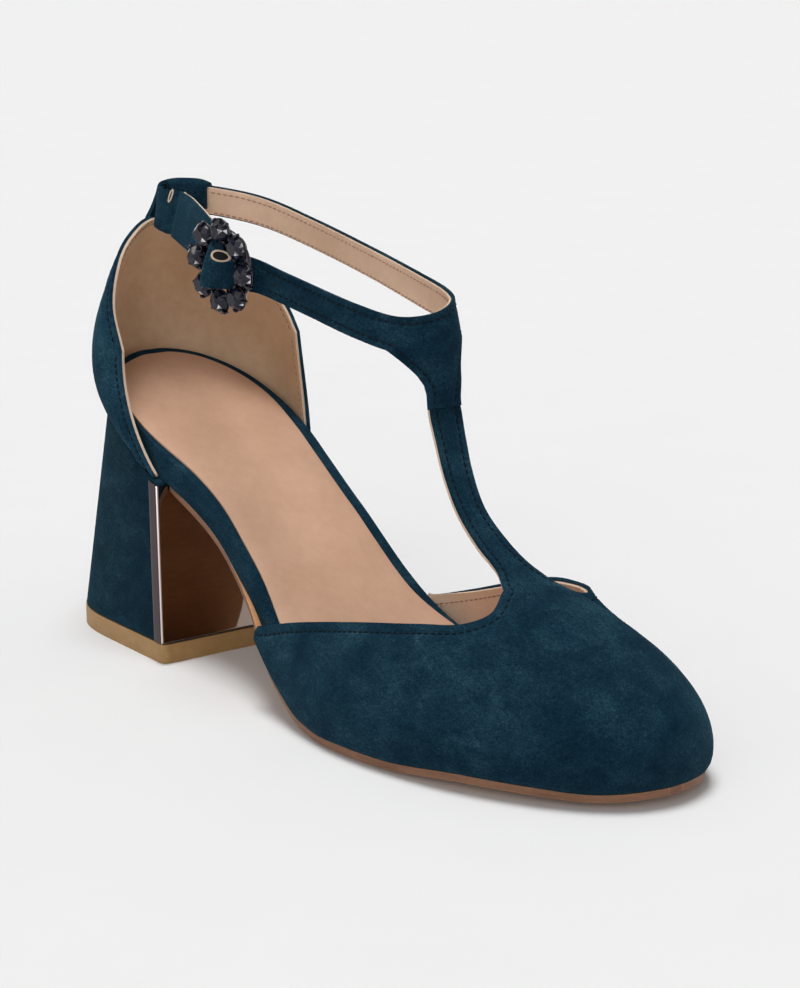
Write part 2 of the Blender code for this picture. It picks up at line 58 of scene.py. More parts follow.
# Sizes shared with the solids
FOOT = 243.0  # length of the insole
SOLE_T = 2.1  # outsole sheet
BOARD_T = 8.9  # suede-wrapped insole board
SOCK_T = 0.8  # leather sock on the insole
WALL = 2.0  # vamp and counter wall
STRAP_T = 1.8  # strap
LOOP_T = 1.3  # folded back loop
GAP = 0.3  # between neighbouring pieces
CLEAR = 0.05  # left between plates that lie on each other
SOCK_INSET = (2.8, 4.3)  # sock edge inside the insole edge, outer and inner side
SOCK_TOE = 2.2  # the same under the vamp
SOCK_WAIST = (28.0, 64.0)  # forward stretch where that inset changes from heel to waist
SOCK_VAMP = (112.0, 132.0)  # and from waist to vamp
BOARD_IN = 1.7  # board edge inside the insole outline under the vamp
BOARD_STEP = (86.0, 110.0)  # forward stretch where it comes to that
SOLE_GROW = 0.8  # sole outside the insole outline, in the forefoot
SOLE_STEP = (98.0, 124.0)  # forward stretch where it comes to that
SEAT_GROW = 1.8  # insole widened at the heel seat
SEAT_STEP = (35.0, 65.0)  # forward stretch where that runs out
HEEL_OUT = 0.3  # heel's top outside the insole's edge, beside gap and wall
LIFT_T = 6.3  # rubber top lift
PANEL_T = 0.9  # breast panel
PANEL_OFF = 0.2  # between breast and panel
PANEL_WRAP = 3.6  # breast panel turned onto the heel side
BREAST_TOP = 51.0  # breast, forward position under the insole
BREAST_FOOT = 60.5  # breast, forward position at the lift
LIFT_BACK = -8.0
LIFT_HALF = 34.5
LIFT_ROUND = 36.0  # length of the rounded back of the lift
LIFT_POWER = 2.9  # squareness of the rounded back
LIFT_TIP = 0.006  # share of the lift left off at its pointed back end
LIFT_GROW = 0.2  # lift outside the heel
RING_R = 11.0  # buckle ring, to the middle of the wire
WIRE_R = 1.1
STONES = 8
STONE_R = 3.75
STONE_H = 3.8
STONE_TURN = 142.0  # angle of the first stone

# Sizes of the looks
SUEDE_T = 1.1  # suede layer of the wall, the rest is lining
SEAM_IN = 2.0  # stitch row from an edge
TOPLINE_SEAM = 2.9  # stitch row from the vamp's top edge
LINING_SEAM = 1.0  # stitch row from the strap lining's lower edge
SEAM_DIP = 0.30  # groove that the stitches pull
SEAM_WIDE = 0.65
STITCH = 1.45  # length of a stitch
STITCH_PITCH = 2.15
THREAD_R = 0.25
COLLAR_WELT = (5.4, 1.0, 0.35)  # soft ridge along the outer collar: distance in, half width, height
SOCK_HEEL = (-1.3, 1.6)  # sock inset round the heel, outer and inner side
SOCK_BACK = 12.0  # forward stretch at the back in which each side comes to its own inset
PUFF = (1.8, 5.8)  # strap swelling out of the ring, at its top and bottom edge
PUFF_SPREAD = 5.0
CROWN = 0.9  # strap rounded over the bar
STEM_SKIVE = 2.0  # foot of the yoke stem pared down onto the T-strap
STEM_LAP = (0.45, 0.5, 0.6)  # shares down the stem: its filling starts, thickens, is full
STEM_SINK = 0.9  # filling sunk into the T-strap
LOOP_SHOULDER = 0.9  # rounding of the back loop's upper corner
RING_TUCK = 0.9  # ring wire set in under the stones
LIFT_CORNER = 2.6  # rounding of the lift's front corners
CREASE = (16.80, 0.10, 1.0)  # fold across the rear strap: row, half width in rows, depth

# Insole outline: share of the length (cosine spaced), outer edge, inner edge
PLAN = [
    # share, outer, inner
    (0.0, 0.0, 0.0),
    (0.1, -14.8, 16.0),
    (0.2, -23.3, 26.4),
    (0.3, -26.3, 28.6),
    (0.4, -26.0, 24.9),
    (0.5, -32.4, 29.6),
    (0.6, -36.2, 39.4),
    (0.7, -29.6, 43.2),
    (0.8, -16.6, 40.2),
    (0.9, -1.4, 31.2),
    (1.0, 15.0, 15.0),
]

# Underside of the sole: height along its middle, and its two edges measured from the middle
PROFILE = [
    # forward, height, outer edge, inner edge
    (-10.0, 81.5, 0.0, 0.0),
    (0.0, 77.2, 0.0, 0.0),
    (40.0, 59.6, 0.0, 0.0),
    (81.0, 41.2, 0.0, 0.0),
    (100.0, 28.4, 0.0, 0.0),
    (121.0, 13.0, -3.2, 0.0),
    (132.0, 7.2, -3.4, 0.0),
    (145.0, 2.3, -1.3, 0.0),
    (158.0, 0.0, 0.8, 0.4),
    (180.0, 0.0, 1.1, 1.1),
    (204.0, 0.0, 2.8, 2.4),
    (222.0, 0.6, 1.9, 1.9),
    (236.0, 1.6, 0.4, 0.4),
    (246.0, 3.2, 0.0, 0.0),
]
SOLE_FLAT = 0.34  # share of the half width that stays flat
TREAD = (2.0, 242.0)  # forward stretch in which the width is read

# Top edge of the vamp, round from the outer waist to the inner waist
TOPLINE = [
    # share, forward, sideways, height
    (0.00, 112.0, -32.4, 25.4),
    (0.10, 131.0, -30.3, 31.0),
    (0.20, 157.0, -26.8, 36.9),
    (0.28, 177.0, -21.6, 40.5),
    (0.34, 189.6, -14.8, 42.5),
    (0.38, 193.4, -8.8, 45.4),
    (0.42, 191.8, -3.3, 50.4),
    (0.50, 191.5, 5.5, 51.8),
    (0.58, 192.0, 14.3, 50.4),
    (0.60, 193.0, 18.0, 48.0),
    (0.62, 195.2, 21.6, 46.4),
    (0.64, 195.8, 24.2, 46.1),
    (0.66, 194.6, 26.4, 46.5),
    (0.72, 181.0, 30.6, 45.3),
    (0.82, 160.0, 33.6, 40.2),
    (0.91, 134.0, 34.0, 30.9),
    (1.00, 113.0, 32.2, 23.8),
]
VAMP_END = (112.0, 113.0)  # forward end at the waist, outer and inner side
VAMP_OUT = (2.2, 1.3)  # foot outside the insole outline, at the waist and at the toe
STRAP_FROM = 0.42  # share of the topline where the T-strap starts
STRAP_TO = 0.58
VAMP_ROLL = (38.0, 70.0)  # degrees that the wall turns in, at the waist and at the toe
VAMP_BULGE = (1.2, 4.6, 2.5)  # at the waist, and at the toe's outer and inner side
VAMP_HOLLOW = (3.0, 0.56, 0.66, 0.82)  # inner hollow: depth, and shares where it starts, is deepest, ends

# T-strap on the vamp, from the throat up
RISE = [
    # forward, sideways, height, half width
    (191.5, 5.7, 51.6, 8.4),
    (185.0, 5.3, 55.2, 5.6),
    (177.0, 4.7, 60.0, 5.0),
    (168.0, 4.7, 67.0, 4.6),
    (161.2, 5.3, 76.0, 4.8),
    (156.3, 6.0, 86.0, 5.1),
    (153.0, 6.5, 94.0, 5.3),
    (150.8, 7.2, 101.0, 3.8),
]

# Collar of the counter, from the inner front edge round the back to the outer front edge
COLLAR = [
    # share, forward, sideways, height
    (0.00, 42.6, 31.2, 98.0),
    (0.10, 38.0, 30.2, 105.6),
    (0.20, 33.0, 27.0, 113.4),
    (0.30, 27.6, 21.6, 121.8),
    (0.38, 21.4, 15.0, 129.2),
    (0.50, 9.4, 4.0, 135.0),
    (0.62, 12.9, -9.5, 135.4),
    (0.70, 19.8, -19.4, 132.2),
    (0.80, 24.0, -27.0, 125.0),
    (0.90, 27.4, -31.6, 112.0),
    (1.00, 33.6, -32.2, 97.0),
]
COUNTER_END = (49.0, 47.2)  # forward end at the waist, outer and inner side
COUNTER_OUT = 0.2  # foot outside the insole's edge, beside gap and wall
COUNTER_BULGE = (0.8, 7.2)  # at the front edges and at the back
COUNTER_BOW = (2.0, 1.2)  # how early the front edges lean in, outer and inner side

# Ankle strap, outer face: buckle, outer arm, yoke, inner arm, back loop, buckle
STRAP = [
    # forward, sideways, height, half height, top edge leaning in
    (73.8, -21.4, 133.2, 6.3, 0.4),
    (85.4, -20.0, 130.7, 5.9, 0.3),
    (96.4, -18.4, 126.7, 4.9, 0.1),
    (114.0, -15.2, 122.6, 4.8, 0.0),
    (134.0, -12.6, 118.8, 4.9, 0.3),
    (146.0, -6.0, 115.8, 5.1, 0.9),
    (152.0, 3.4, 116.2, 5.6, 1.3),
    (150.6, 12.4, 118.4, 5.8, 1.3),
    (140.0, 18.2, 120.6, 5.2, 0.6),
    (120.0, 22.2, 123.0, 5.0, 0.0),
    (92.0, 25.4, 127.2, 4.8, 0.0),
    (62.0, 25.4, 132.6, 4.8, 0.0),
    (38.0, 21.6, 137.6, 4.9, 0.0),
    (22.0, 12.6, 140.4, 4.8, 0.0),
    (12.6, 4.6, 141.0, 4.8, 0.0),
    (13.2, -2.6, 140.6, 4.9, 0.2),
    (16.5, -7.0, 139.2, 6.2, 1.0),
    (30.6, -8.0, 138.2, 7.0, 2.0),
    (48.5, -13.3, 136.2, 6.7, 2.1),
    (62.0, -16.6, 134.0, 6.3, 1.4),
    (76.0, -16.8, 131.0, 6.0, 0.6),
]
STRAP_END = len(STRAP) - 1.0
YOKE_FROM = 4.75  # rows of the strap between which the yoke's stem starts
YOKE_TO = 7.35
LOOP_FROM = 13.15  # rows between which the back loop lies
LOOP_TO = 15.05
LOOP_FLARE = 0.55  # rows by which its outer foot is wider
BAR_ROW = 1.0  # row of the buckle's bar
BAR_LIFT = 8.8  # strap lifted over the bar
BAR_SPREAD = 6.4
RING_OUT = 4.4  # ring out from the strap's face
RING_TILT = -6.0  # degrees
BAR_TURN = 104.0  # angle of the bar in the ring

# Yoke stem, from the strap down over the T-strap
STEM = [
    # forward, sideways, height, half width
    (152.4, 4.6, 111.0, 9.6),
    (153.2, 5.6, 104.4, 7.0),
    (154.6, 5.9, 99.2, 5.9),
    (155.9, 5.6, 94.6, 5.9),
]
STEM_BOW = (2.2, 1.5)  # stem's middle bowed forward at its top, and all of it set back there

# Folded back loop round the strap
LOOP_SECTION = [
    # outward from the strap face, height from the strap's middle
    (4.3, -4.6),
    (3.0, -1.0),
    (1.9, 2.8),
    (1.3, 5.8),
    (-1.1, 6.8),
    (-3.1, 5.9),
    (-3.8, 3.6),
    (-3.9, 0.4),
    (-3.9, -2.6),
]

# The lift's front and middle give the place of the shoe's frame in the row's frame
lift_low, lift_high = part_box("top_lift")
SHIFT = Vector((lift_high.x - (BREAST_FOOT + LIFT_GROW) * MM, (lift_low.y + lift_high.y) / 2, 0.0))


def to_row(spot):
    return Vector(spot) * MM + SHIFT


# Curves through tables
def slopes(keys, values, limited):
    steps = [(values[i + 1] - values[i]) / (keys[i + 1] - keys[i]) for i in range(len(keys) - 1)]
    out = [steps[0]]
    for i in range(1, len(keys) - 1):
        before = keys[i] - keys[i - 1]
        after = keys[i + 1] - keys[i]
        slope = (steps[i - 1] * after + steps[i] * before) / (before + after)
        if limited:
            if steps[i - 1] * steps[i] <= 0.0:
                slope = 0.0
            else:
                cap = 3.0 * min(abs(steps[i - 1]), abs(steps[i]))
                slope = max(-cap, min(cap, slope))
        out.append(slope)
    return out + [steps[-1]]


def track(table, counted=False, limited=False):
    """Function that reads a table's columns between its rows, along smooth curves.

    A row is found by its first column, or counted 0, 1, 2 ... and then the first column is read too.
    """
    columns = [list(values) for values in zip(*table)]
    keys = [float(i) for i in range(len(table))] if counted else columns.pop(0)
    tangents = [slopes(keys, values, limited) for values in columns]

    def read(place):
        i = min(max(bisect.bisect_left(keys, place) - 1, 0), len(keys) - 2)
        span = keys[i + 1] - keys[i]
        t = max(0.0, min(1.0, (place - keys[i]) / span))
        a = (1 + 2 * t) * (1 - t) ** 2
        b = t * (1 - t) ** 2 * span
        c = t * t * (3 - 2 * t)
        d = t * t * (t - 1) * span
        return [a * v[i] + b * s[i] + c * v[i + 1] + d * s[i + 1] for v, s in zip(columns, tangents)]

    return read


plan_at = track(PLAN)
profile_at = track(PROFILE, limited=True)
topline_at = track(TOPLINE)
rise_at = track(RISE, counted=True)
collar_at = track(COLLAR)
strap_at = track(STRAP, counted=True)
stem_at = track(STEM, counted=True)
loop_at = track(LOOP_SECTION, counted=True)


def mix(a, b, t):
    return a + (b - a) * t


def ease(t):
    t = max(0.0, min(1.0, t))
    return t * t * (3 - 2 * t)


def step(value, start, end):
    """0 up to a start, 1 from an end, eased between."""
    return ease((value - start) / (end - start))


def hump(distance, wide):
    """Soft hump, 1 at its middle."""
    return math.exp(-(distance / wide) ** 2)


def evenly(first, last, count):
    return [mix(first, last, k / count) for k in range(count + 1)]


def nearest(values, wanted):
    """Place in a list of the value nearest to the wanted one."""
    return min(range(len(values)), key=lambda i: abs(values[i] - wanted))


def merged(*lists):
    """One rising list of the values, without near doubles."""
    out = []
    for value in sorted(v for part in lists for v in part):
        if not out or value - out[-1] > 1e-4:
            out.append(value)
    return out


# Outline of the insole
def share_at(forward):
    return math.acos(1 - 2 * forward / FOOT) / math.pi


def rim(share, side):
    forward = FOOT / 2 * (1 - math.cos(math.pi * share))
    return Vector((forward, plan_at(share)[side - 1]))


def outward(share, side):
    small = 0.004
    along = rim(min(1.0, share + small), side) - rim(max(0.0, share - small), side)
    across = Vector((along.y, -along.x)) if side == OUTER else Vector((-along.y, along.x))
    if share < small or share > 1 - small:
        across.y = 0.0
    return across.normalized()


def edge(share, side, grow):
    return rim(share, side) + outward(share, side) * grow


def tread(spot):
    """Height of the sole's underside at a place in plan: flat in its middle, turned to its edges."""
    share = share_at(max(TREAD[0], min(TREAD[1], spot.x)))
    outer, inner = plan_at(share)
    off = min(1.0, abs(2 * (spot.y - outer) / (inner - outer) - 1))
    side = OUTER if 2 * spot.y < outer + inner else INNER
    turn = max(0.0, (off - SOLE_FLAT) / (1 - SOLE_FLAT)) ** 2
    row = profile_at(spot.x)
    return row[0] + turn * row[side]


def sole_grow(share, side):
    return SOLE_GROW * step(rim(share, side).x, *SOLE_STEP)


def seat_grow(share, side):
    return SEAT_GROW * (1 - step(rim(share, side).x, *SEAT_STEP))


def board_grow(share, side):
    return mix(seat_grow(share, side), -BOARD_IN, step(rim(share, side).x, *BOARD_STEP))


def sock_grow(share, side):
    forward = rim(share, side).x
    inset = mix(SOCK_HEEL[1], SOCK_HEEL[side - 1], step(forward, 0.0, SOCK_BACK))
    inset = mix(inset, SOCK_INSET[side - 1], step(forward, *SOCK_WAIST))
    inset = mix(inset, SOCK_TOE, step(forward, *SOCK_VAMP))
    return board_grow(share, side) - seat_grow(share, side) - inset


# Materials
def shader_of(name, **values):
    """New material, its node tree and its Principled shader with the constant values set."""
    paint = bpy.data.materials.new(name)
    paint.use_nodes = True
    tree = paint.node_tree
    shader = tree.nodes["Principled BSDF"]
    for key, value in values.items():
        socket = shader.inputs[key.replace("_", " ")]
        socket.default_value = (*value, 1.0) if isinstance(value, tuple) else value
    return paint, tree, shader


def node(tree, kind, **inputs):
    """New shader node with its inputs set, or linked where the value is a socket."""
    item = tree.nodes.new("ShaderNode" + kind)
    for key, value in inputs.items():
        socket = item.inputs[key.replace("_", " ")]
        if isinstance(value, bpy.types.NodeSocket):
            tree.links.new(value, socket)
        else:
            socket.default_value = value
    return item


def noise(tree, size, detail=2.0, stretch=(1, 1, 1), rough=0.55, distort=0.0):
    """Noise whose clumps are about that many millimetres across, as a value socket."""
    place = node(tree, "TexCoord").outputs["Object"]
    turn = node(tree, "Mapping", Vector=place, Scale=stretch).outputs["Vector"]
    item = node(tree, "TexNoise", Vector=turn, Scale=1.0 / (size * MM), Detail=detail, Roughness=rough,
                Distortion=distort)
    return item.outputs["Fac"]


def weigh(tree, *parts):
    """Sum of value sockets, each times its weight."""
    total = None
    for socket, weight in parts:
        item = node(tree, "Math")
        item.operation = "MULTIPLY_ADD"
        tree.links.new(socket, item.inputs[0])
        item.inputs[1].default_value = weight
        item.inputs[2].default_value = 0.0
        if total is not None:
            tree.links.new(total, item.inputs[2])
        total = item.outputs[0]
    return total


def tint(tree, shader, socket, stops):
    """Base colour along a value, from (position, colour) stops."""
    item = node(tree, "ValToRGB", Fac=socket)
    elements = item.color_ramp.elements
    while len(elements) < len(stops):
        elements.new(1.0)
    for element, (position, colour) in zip(elements, stops):
        element.position = position
        element.color = (*colour, 1.0)
    tree.links.new(item.outputs["Color"], shader.inputs["Base Color"])


def roughen(tree, shader, socket, low, high):
    """Roughness spread over a range by a value."""
    item = node(tree, "MapRange", Value=socket, To_Min=low, To_Max=high)
    tree.links.new(item.outputs["Result"], shader.inputs["Roughness"])


def bump(tree, shader, socket, depth, strength):
    item = node(tree, "Bump", Height=socket, Distance=depth * MM, Strength=strength)
    tree.links.new(item.outputs["Normal"], shader.inputs["Normal"])


def suede(name, light=1.0):
    """Dark teal nap: soft brushed clouds, short fibres, a faint lit edge; light scales all its colours,
    which makes painted lit and shaded copies.
    """
    paint, tree, shader = shader_of(
        name, Roughness=0.95, Specular_IOR_Level=0.02, Sheen_Weight=0.09,
        Sheen_Roughness=0.45, Sheen_Tint=(0.20, 0.48, 0.60))
    cloud = noise(tree, 20.0, 2.0, (1.0, 1.0, 1.3), 0.5, 0.5)
    stroke = noise(tree, 6.5, 2.0, (0.8, 1.0, 1.2), 0.5, 0.6)
    nap = noise(tree, 1.3, 2.0, (0.7, 1.0, 1.3), 0.6)
    fibre = noise(tree, 0.55, 2.0, (0.8, 1.0, 1.2), 0.75)
    tone = weigh(tree, (cloud, 0.28), (stroke, 0.20), (nap, 0.16), (fibre, 0.42))
    stops = [
        (0.41, (0.0022, 0.0115, 0.0225)),
        (0.52, (0.0053, 0.0210, 0.0365)),
        (0.61, (0.0115, 0.0370, 0.0560)),
        (0.71, (0.0300, 0.0700, 0.0900))]
    stops = [(place, tuple(light * value for value in colour)) for place, colour in stops]
    tint(tree, shader, tone, stops)
    bump(tree, shader, weigh(tree, (fibre, 0.8), (nap, 0.5), (stroke, 0.25)), 0.36, 0.8)
    return paint


def leather(name, dark, light, rough, grain=0.10):
    """Smooth leather: faint cloud, fine pores, a soft satin."""
    paint, tree, shader = shader_of(name, Specular_IOR_Level=0.34)
    cloud = noise(tree, 30.0, 3.0)
    mottle = noise(tree, 3.2, 3.0)
    pores = noise(tree, 0.55, 2.0)
    tone = weigh(tree, (cloud, 0.55), (mottle, 0.25), (pores, 0.2))
    tint(tree, shader, tone, [(0.38, dark), (0.64, light)])
    roughen(tree, shader, mottle, rough - 0.06, rough + 0.08)
    bump(tree, shader, weigh(tree, (pores, 0.8), (mottle, 0.6)), grain, 0.5)
    return paint


def mirror(name, dark, light):
    """Dark rose-bronze mirror film with a faint ripple."""
    paint, tree, shader = shader_of(name, Metallic=1.0, Roughness=0.035)
    tint(tree, shader, noise(tree, 22.0), [(0.3, dark), (0.7, light)])
    bump(tree, shader, noise(tree, 16.0, 1.0), 0.05, 0.35)
    return paint


def rubber():
    """Ochre rubber lift, faintly mottled, with fine grinding lines along it."""
    paint, tree, shader = shader_of("lift_rubber", Roughness=0.55, Specular_IOR_Level=0.35)
    mottle = noise(tree, 3.0)
    lines = noise(tree, 1.2, 2.0, (0.15, 0.15, 2.5))
    tone = weigh(tree, (mottle, 0.6), (lines, 0.4))
    tint(tree, shader, tone, [(0.3, (0.290, 0.165, 0.060)), (0.7, (0.360, 0.215, 0.085))])
    bump(tree, shader, tone, 0.05, 0.4)
    return paint


def sole_leather(name, dark, light):
    """Terracotta sole sheet."""
    paint, tree, shader = shader_of(name, Roughness=0.5, Specular_IOR_Level=0.3)
    cloud = noise(tree, 14.0, 3.0)
    layers = noise(tree, 1.4, 3.0, (0.2, 0.2, 2.0))
    tone = weigh(tree, (cloud, 0.5), (layers, 0.5))
    tint(tree, shader, tone, [(0.35, dark), (0.65, light)])
    bump(tree, shader, layers, 0.06, 0.5)
    return paint


def thread(name, dark, light):
    """Twisted sewing thread."""
    paint, tree, shader = shader_of(name, Roughness=0.85, Specular_IOR_Level=0.15)
    twist = noise(tree, 0.35, 1.0)
    tint(tree, shader, twist, [(0.35, dark), (0.65, light)])
    bump(tree, shader, twist, 0.05, 0.6)
    return paint


def gunmetal():
    paint, tree, shader = shader_of("buckle_metal", Metallic=1.0)
    wear = noise(tree, 1.6, 3.0)
    tint(tree, shader, wear, [(0.35, (0.030, 0.030, 0.040)), (0.70, (0.085, 0.083, 0.095))])
    roughen(tree, shader, wear, 0.16, 0.38)
    return paint


def crystal(name, metal, rough, dark, light):
    """Facet of a smoky cut stone; its grey and bright copies are painted reflections and glints."""
    paint, tree, shader = shader_of(name, Metallic=metal, Roughness=rough, Specular_IOR_Level=0.34)
    tint(tree, shader, noise(tree, 1.6, 1.0), [(0.38, dark), (0.64, light)])
    return paint


SUEDE = suede("suede")
# Lighter copy of the suede for the counter: painted sheen where light grazes its side.
COUNTER_SUEDE_PAINTED_SHEEN = suede("counter_suede_painted_sheen", 1.35)
# Darker copy of the suede for the heel cover: painted shade.
HEEL_SUEDE_PAINTED_SHADE = suede("heel_suede_painted_shade", 0.80)
LINING = leather("lining_leather", (0.470, 0.305, 0.180), (0.585, 0.395, 0.250), 0.55)
# Lighter copy of the lining leather for the vamp and strap linings: painted light.
LINING_PAINTED_LIGHT = leather("lining_painted_light", (0.590, 0.400, 0.275), (0.720, 0.515, 0.375), 0.55)
SOCK = leather("sock_leather", (0.430, 0.255, 0.165), (0.510, 0.312, 0.212), 0.48)
RAW_EDGE = leather("raw_edge", (0.500, 0.370, 0.270), (0.640, 0.490, 0.380), 0.7, 0.2)
# One mirror film in three brightnesses: turned edges darker as painted shade, breast face lighter as painted
# reflection, round corners bright as a painted highlight line.
MIRROR = mirror("breast_mirror", (0.072, 0.056, 0.058), (0.088, 0.068, 0.070))
MIRROR_FACE_PAINTED_LIGHT = mirror("breast_mirror_face", (0.240, 0.185, 0.155), (0.285, 0.220, 0.185))
MIRROR_PAINTED_HIGHLIGHT = mirror("breast_mirror_painted_highlight", (0.62, 0.53, 0.52), (0.72, 0.62, 0.60))
RUBBER = rubber()
SOLE = sole_leather("sole_sheet", (0.440, 0.205, 0.082), (0.560, 0.275, 0.120))
SOLE_EDGE = sole_leather("sole_edge", (0.155, 0.070, 0.036), (0.235, 0.115, 0.064))
DARK_THREAD = thread("dark_thread", (0.0010, 0.0040, 0.0075), (0.0026, 0.0085, 0.0140))
TAN_THREAD = thread("tan_thread", (0.270, 0.155, 0.105), (0.430, 0.285, 0.205))
METAL = gunmetal()
# The stone's own dark facet, then grey and bright copies that paint reflections and glints onto single
# facets.
STONE_FACETS = [
    crystal("stone", 0.0, 0.08, (0.0025, 0.0028, 0.0085), (0.0075, 0.0080, 0.0220)),
    crystal("stone_grey", 0.9, 0.12, (0.014, 0.015, 0.022), (0.050, 0.051, 0.060)),
    crystal("stone_glint", 1.0, 0.10, (0.22, 0.21, 0.22), (0.85, 0.83, 0.82)),
]
# Dark oval inside the holes: painted shade.
HOLE_PAINTED_SHADE = leather("hole_shade", (0.0040, 0.0045, 0.0060), (0.0090, 0.0095, 0.0120), 0.9)


# Meshes
def placed(name, data):
    """Object in the scene."""
    item = bpy.data.objects.new(name, data)
    bpy.context.scene.collection.objects.link(item)
    return item


def painted(name, mesh, paints):
    """Object of a mesh in the row's frame, with its materials."""
    data = bpy.data.meshes.new(name)
    mesh.to_mesh(data)
    mesh.free()
    for paint in paints:
        data.materials.append(paint)
    return placed(name, data)


def piece(name, mesh, paints, replaced=(), smooth=True):
    """Painted object on the shoe's one body."""
    item = painted(name, mesh, paints)
    for face in item.data.polygons:
        face.use_smooth = smooth
    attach(item, "root")
    if replaced:
        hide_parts(*replaced)


def corners(i, j):
    """Corners of a cell (column, row), in turn."""
    return [(i, j), (i + 1, j), (i + 1, j + 1), (i, j + 1)]


def at_corner(value, key):
    """A value, or what a function gives for it at a corner of a face."""
    return value(key) if callable(value) else value


def skin(place, cells, eased=(), steps=0):
    """Spots and outward directions of a face of cells (column, row), with some spots evened out."""
    mesh = bmesh.new()
    verts = {}
    for cell in cells:
        for key in corners(*cell):
            if key not in verts:
                verts[key] = mesh.verts.new(place(*key))
        mesh.faces.new([verts[key] for key in corners(*cell)])
    inside = [verts[key] for key in eased if key in verts and not verts[key].is_boundary]
    for _ in range(steps):
        bmesh.ops.smooth_vert(
            mesh, verts=inside, factor=0.5, use_axis_x=True, use_axis_y=True, use_axis_z=True)
    mesh.normal_update()
    out = {key: (vert.co.copy(), vert.normal.copy()) for key, vert in verts.items()}
    mesh.free()
    return out


def layer(face, cells, near, far, soft=0.3):
    """Closed sheet between two depths under a face, its rim rounded; rim faces are material 1.

    near and far are depths, or functions of the cell corner that give them.
    """
    mesh = bmesh.new()
    front, back = {}, {}
    open_edges = {}
    for cell in cells:
        loop = corners(*cell)
        for key in loop:
            if key not in front:
                spot, out = face[key]
                front[key] = mesh.verts.new(to_row(spot - out * at_corner(near, key)))
                back[key] = mesh.verts.new(to_row(spot - out * at_corner(far, key)))
        mesh.faces.new([front[key] for key in loop])
        mesh.faces.new([back[key] for key in reversed(loop)])
        for a, b in zip(loop, loop[1:] + loop[:1]):
            if (b, a) in open_edges:
                del open_edges[(b, a)]
            else:
                open_edges[(a, b)] = True
    for a, b in open_edges:
        mesh.faces.new([front[b], front[a], back[a], back[b]]).material_index = 1
    mesh.normal_update()
    lips = [mesh.edges.get((side[a], side[b])) for a, b in open_edges for side in (front, back)]
    soften(mesh, lips, soft, 1)
    return mesh


def soften(mesh, edges, radius, paint):
    """Round off edges, with faces of one of the mesh's materials."""
    bmesh.ops.bevel(
        mesh, geom=edges, offset=radius * MM, segments=3, profile=0.5, affect="EDGES",
        clamp_overlap=True, material=paint)


def face_out(mesh):
    bmesh.ops.recalc_face_normals(mesh, faces=mesh.faces[:])


def walls(mesh, rings):
    """Faces between each ring of corners and the next, as one list for each pair of rings."""
    rows = []
    for low, high in zip(rings, rings[1:]):
        count = len(low)
        after = [(k + 1) % count for k in range(count)]
        rows.append([mesh.faces.new([low[k], low[after[k]], high[after[k]], high[k]]) for k in range(count)])
    return rows


def brick(place, shares, soft):
    """Closed box of cells across, along and through; corners where place says, sharp edges rounded.

    The faces round its rim are material 1.
    """
    mesh = bmesh.new()
    spots = {}

    def at(*corner):
        if corner not in spots:
            spots[corner] = mesh.verts.new(to_row(place(*[shares[k][corner[k]] for k in range(3)])))
        return spots[corner]

    sharp = set()
    last = [len(part) - 1 for part in shares]
    for axis in range(3):
        first, second = [range(last[k]) for k in range(3) if k != axis]
        for level, i, j in product((0, last[axis]), first, second):
            loop = [(*pair[:axis], level, *pair[axis:]) for pair in corners(i, j)]
            mesh.faces.new([at(*corner) for corner in loop]).material_index = int(axis < 2)
            for a, b in zip(loop, loop[1:] + loop[:1]):
                if sum(a[k] == b[k] and a[k] in (0, last[k]) for k in range(3)) >= 2:
                    sharp.add(frozenset((a, b)))
    face_out(mesh)
    soften(mesh, [mesh.edges.get([spots[corner] for corner in pair]) for pair in sharp], soft, 0)
    return mesh


def tube(mesh, path, radii, out, sides=8, closed=False):
    """Round tube along a path of spots in the shoe's frame, added to a mesh."""
    rings = []
    count = len(path)
    for k, (spot, radius) in enumerate(zip(path, radii)):
        ahead = path[(k + 1) % count] if closed else path[min(k + 1, count - 1)]
        behind = path[k - 1] if closed else path[max(k - 1, 0)]
        along = (ahead - behind).normalized()
        side = along.cross(out).normalized()
        top = side.cross(along)
        turns = [2 * math.pi * n / sides for n in range(sides)]
        rings.append([
            mesh.verts.new(to_row(spot + (side * math.cos(t) + top * math.sin(t)) * radius))
            for t in turns])
    walls(mesh, rings + rings[:1] if closed else rings)
    if not closed:
        mesh.faces.new(rings[0][::-1])
        mesh.faces.new(rings[-1])


STITCH_SHAPE = [
    # share along the stitch, height of its middle, share of the thread's radius
    (-0.5, -0.14, 0.8),
    (-0.3, 0.08, 1.0),
    (0.0, 0.13, 1.1),
    (0.3, 0.08, 1.0),
    (0.5, -0.14, 0.8),
]


def sew(name, seams, paint):
    """Rows of stitches; a seam is a list of (spot, outward direction) along the row."""
    mesh = bmesh.new()
    radii = [THREAD_R * wide for _, _, wide in STITCH_SHAPE]
    for seam in seams:
        travel = [0.0]
        for (a, _), (b, _) in zip(seam, seam[1:]):
            travel.append(travel[-1] + (b - a).length)
        count = int(travel[-1] / STITCH_PITCH)

        def at(distance):
            k = min(max(bisect.bisect_left(travel, distance) - 1, 0), len(seam) - 2)
            t = (distance - travel[k]) / max(travel[k + 1] - travel[k], 1e-6)
            return seam[k][0].lerp(seam[k + 1][0], t), seam[k][1].lerp(seam[k + 1][1], t).normalized()

        for number in range(count):
            middle = (number + 0.5) * travel[-1] / count
            path = []
            for along, high, _ in STITCH_SHAPE:
                spot, out = at(middle + along * STITCH)
                path.append(spot + out * high)
            tube(mesh, path, radii, at(middle)[1], 6)
    face_out(mesh)
    piece(name, mesh, [paint])


def groove(distance, inset=SEAM_IN):
    """Depth that a stitch row pulls into the surface, at a distance from the edge."""
    return SEAM_DIP * hump(distance - inset, SEAM_WIDE)


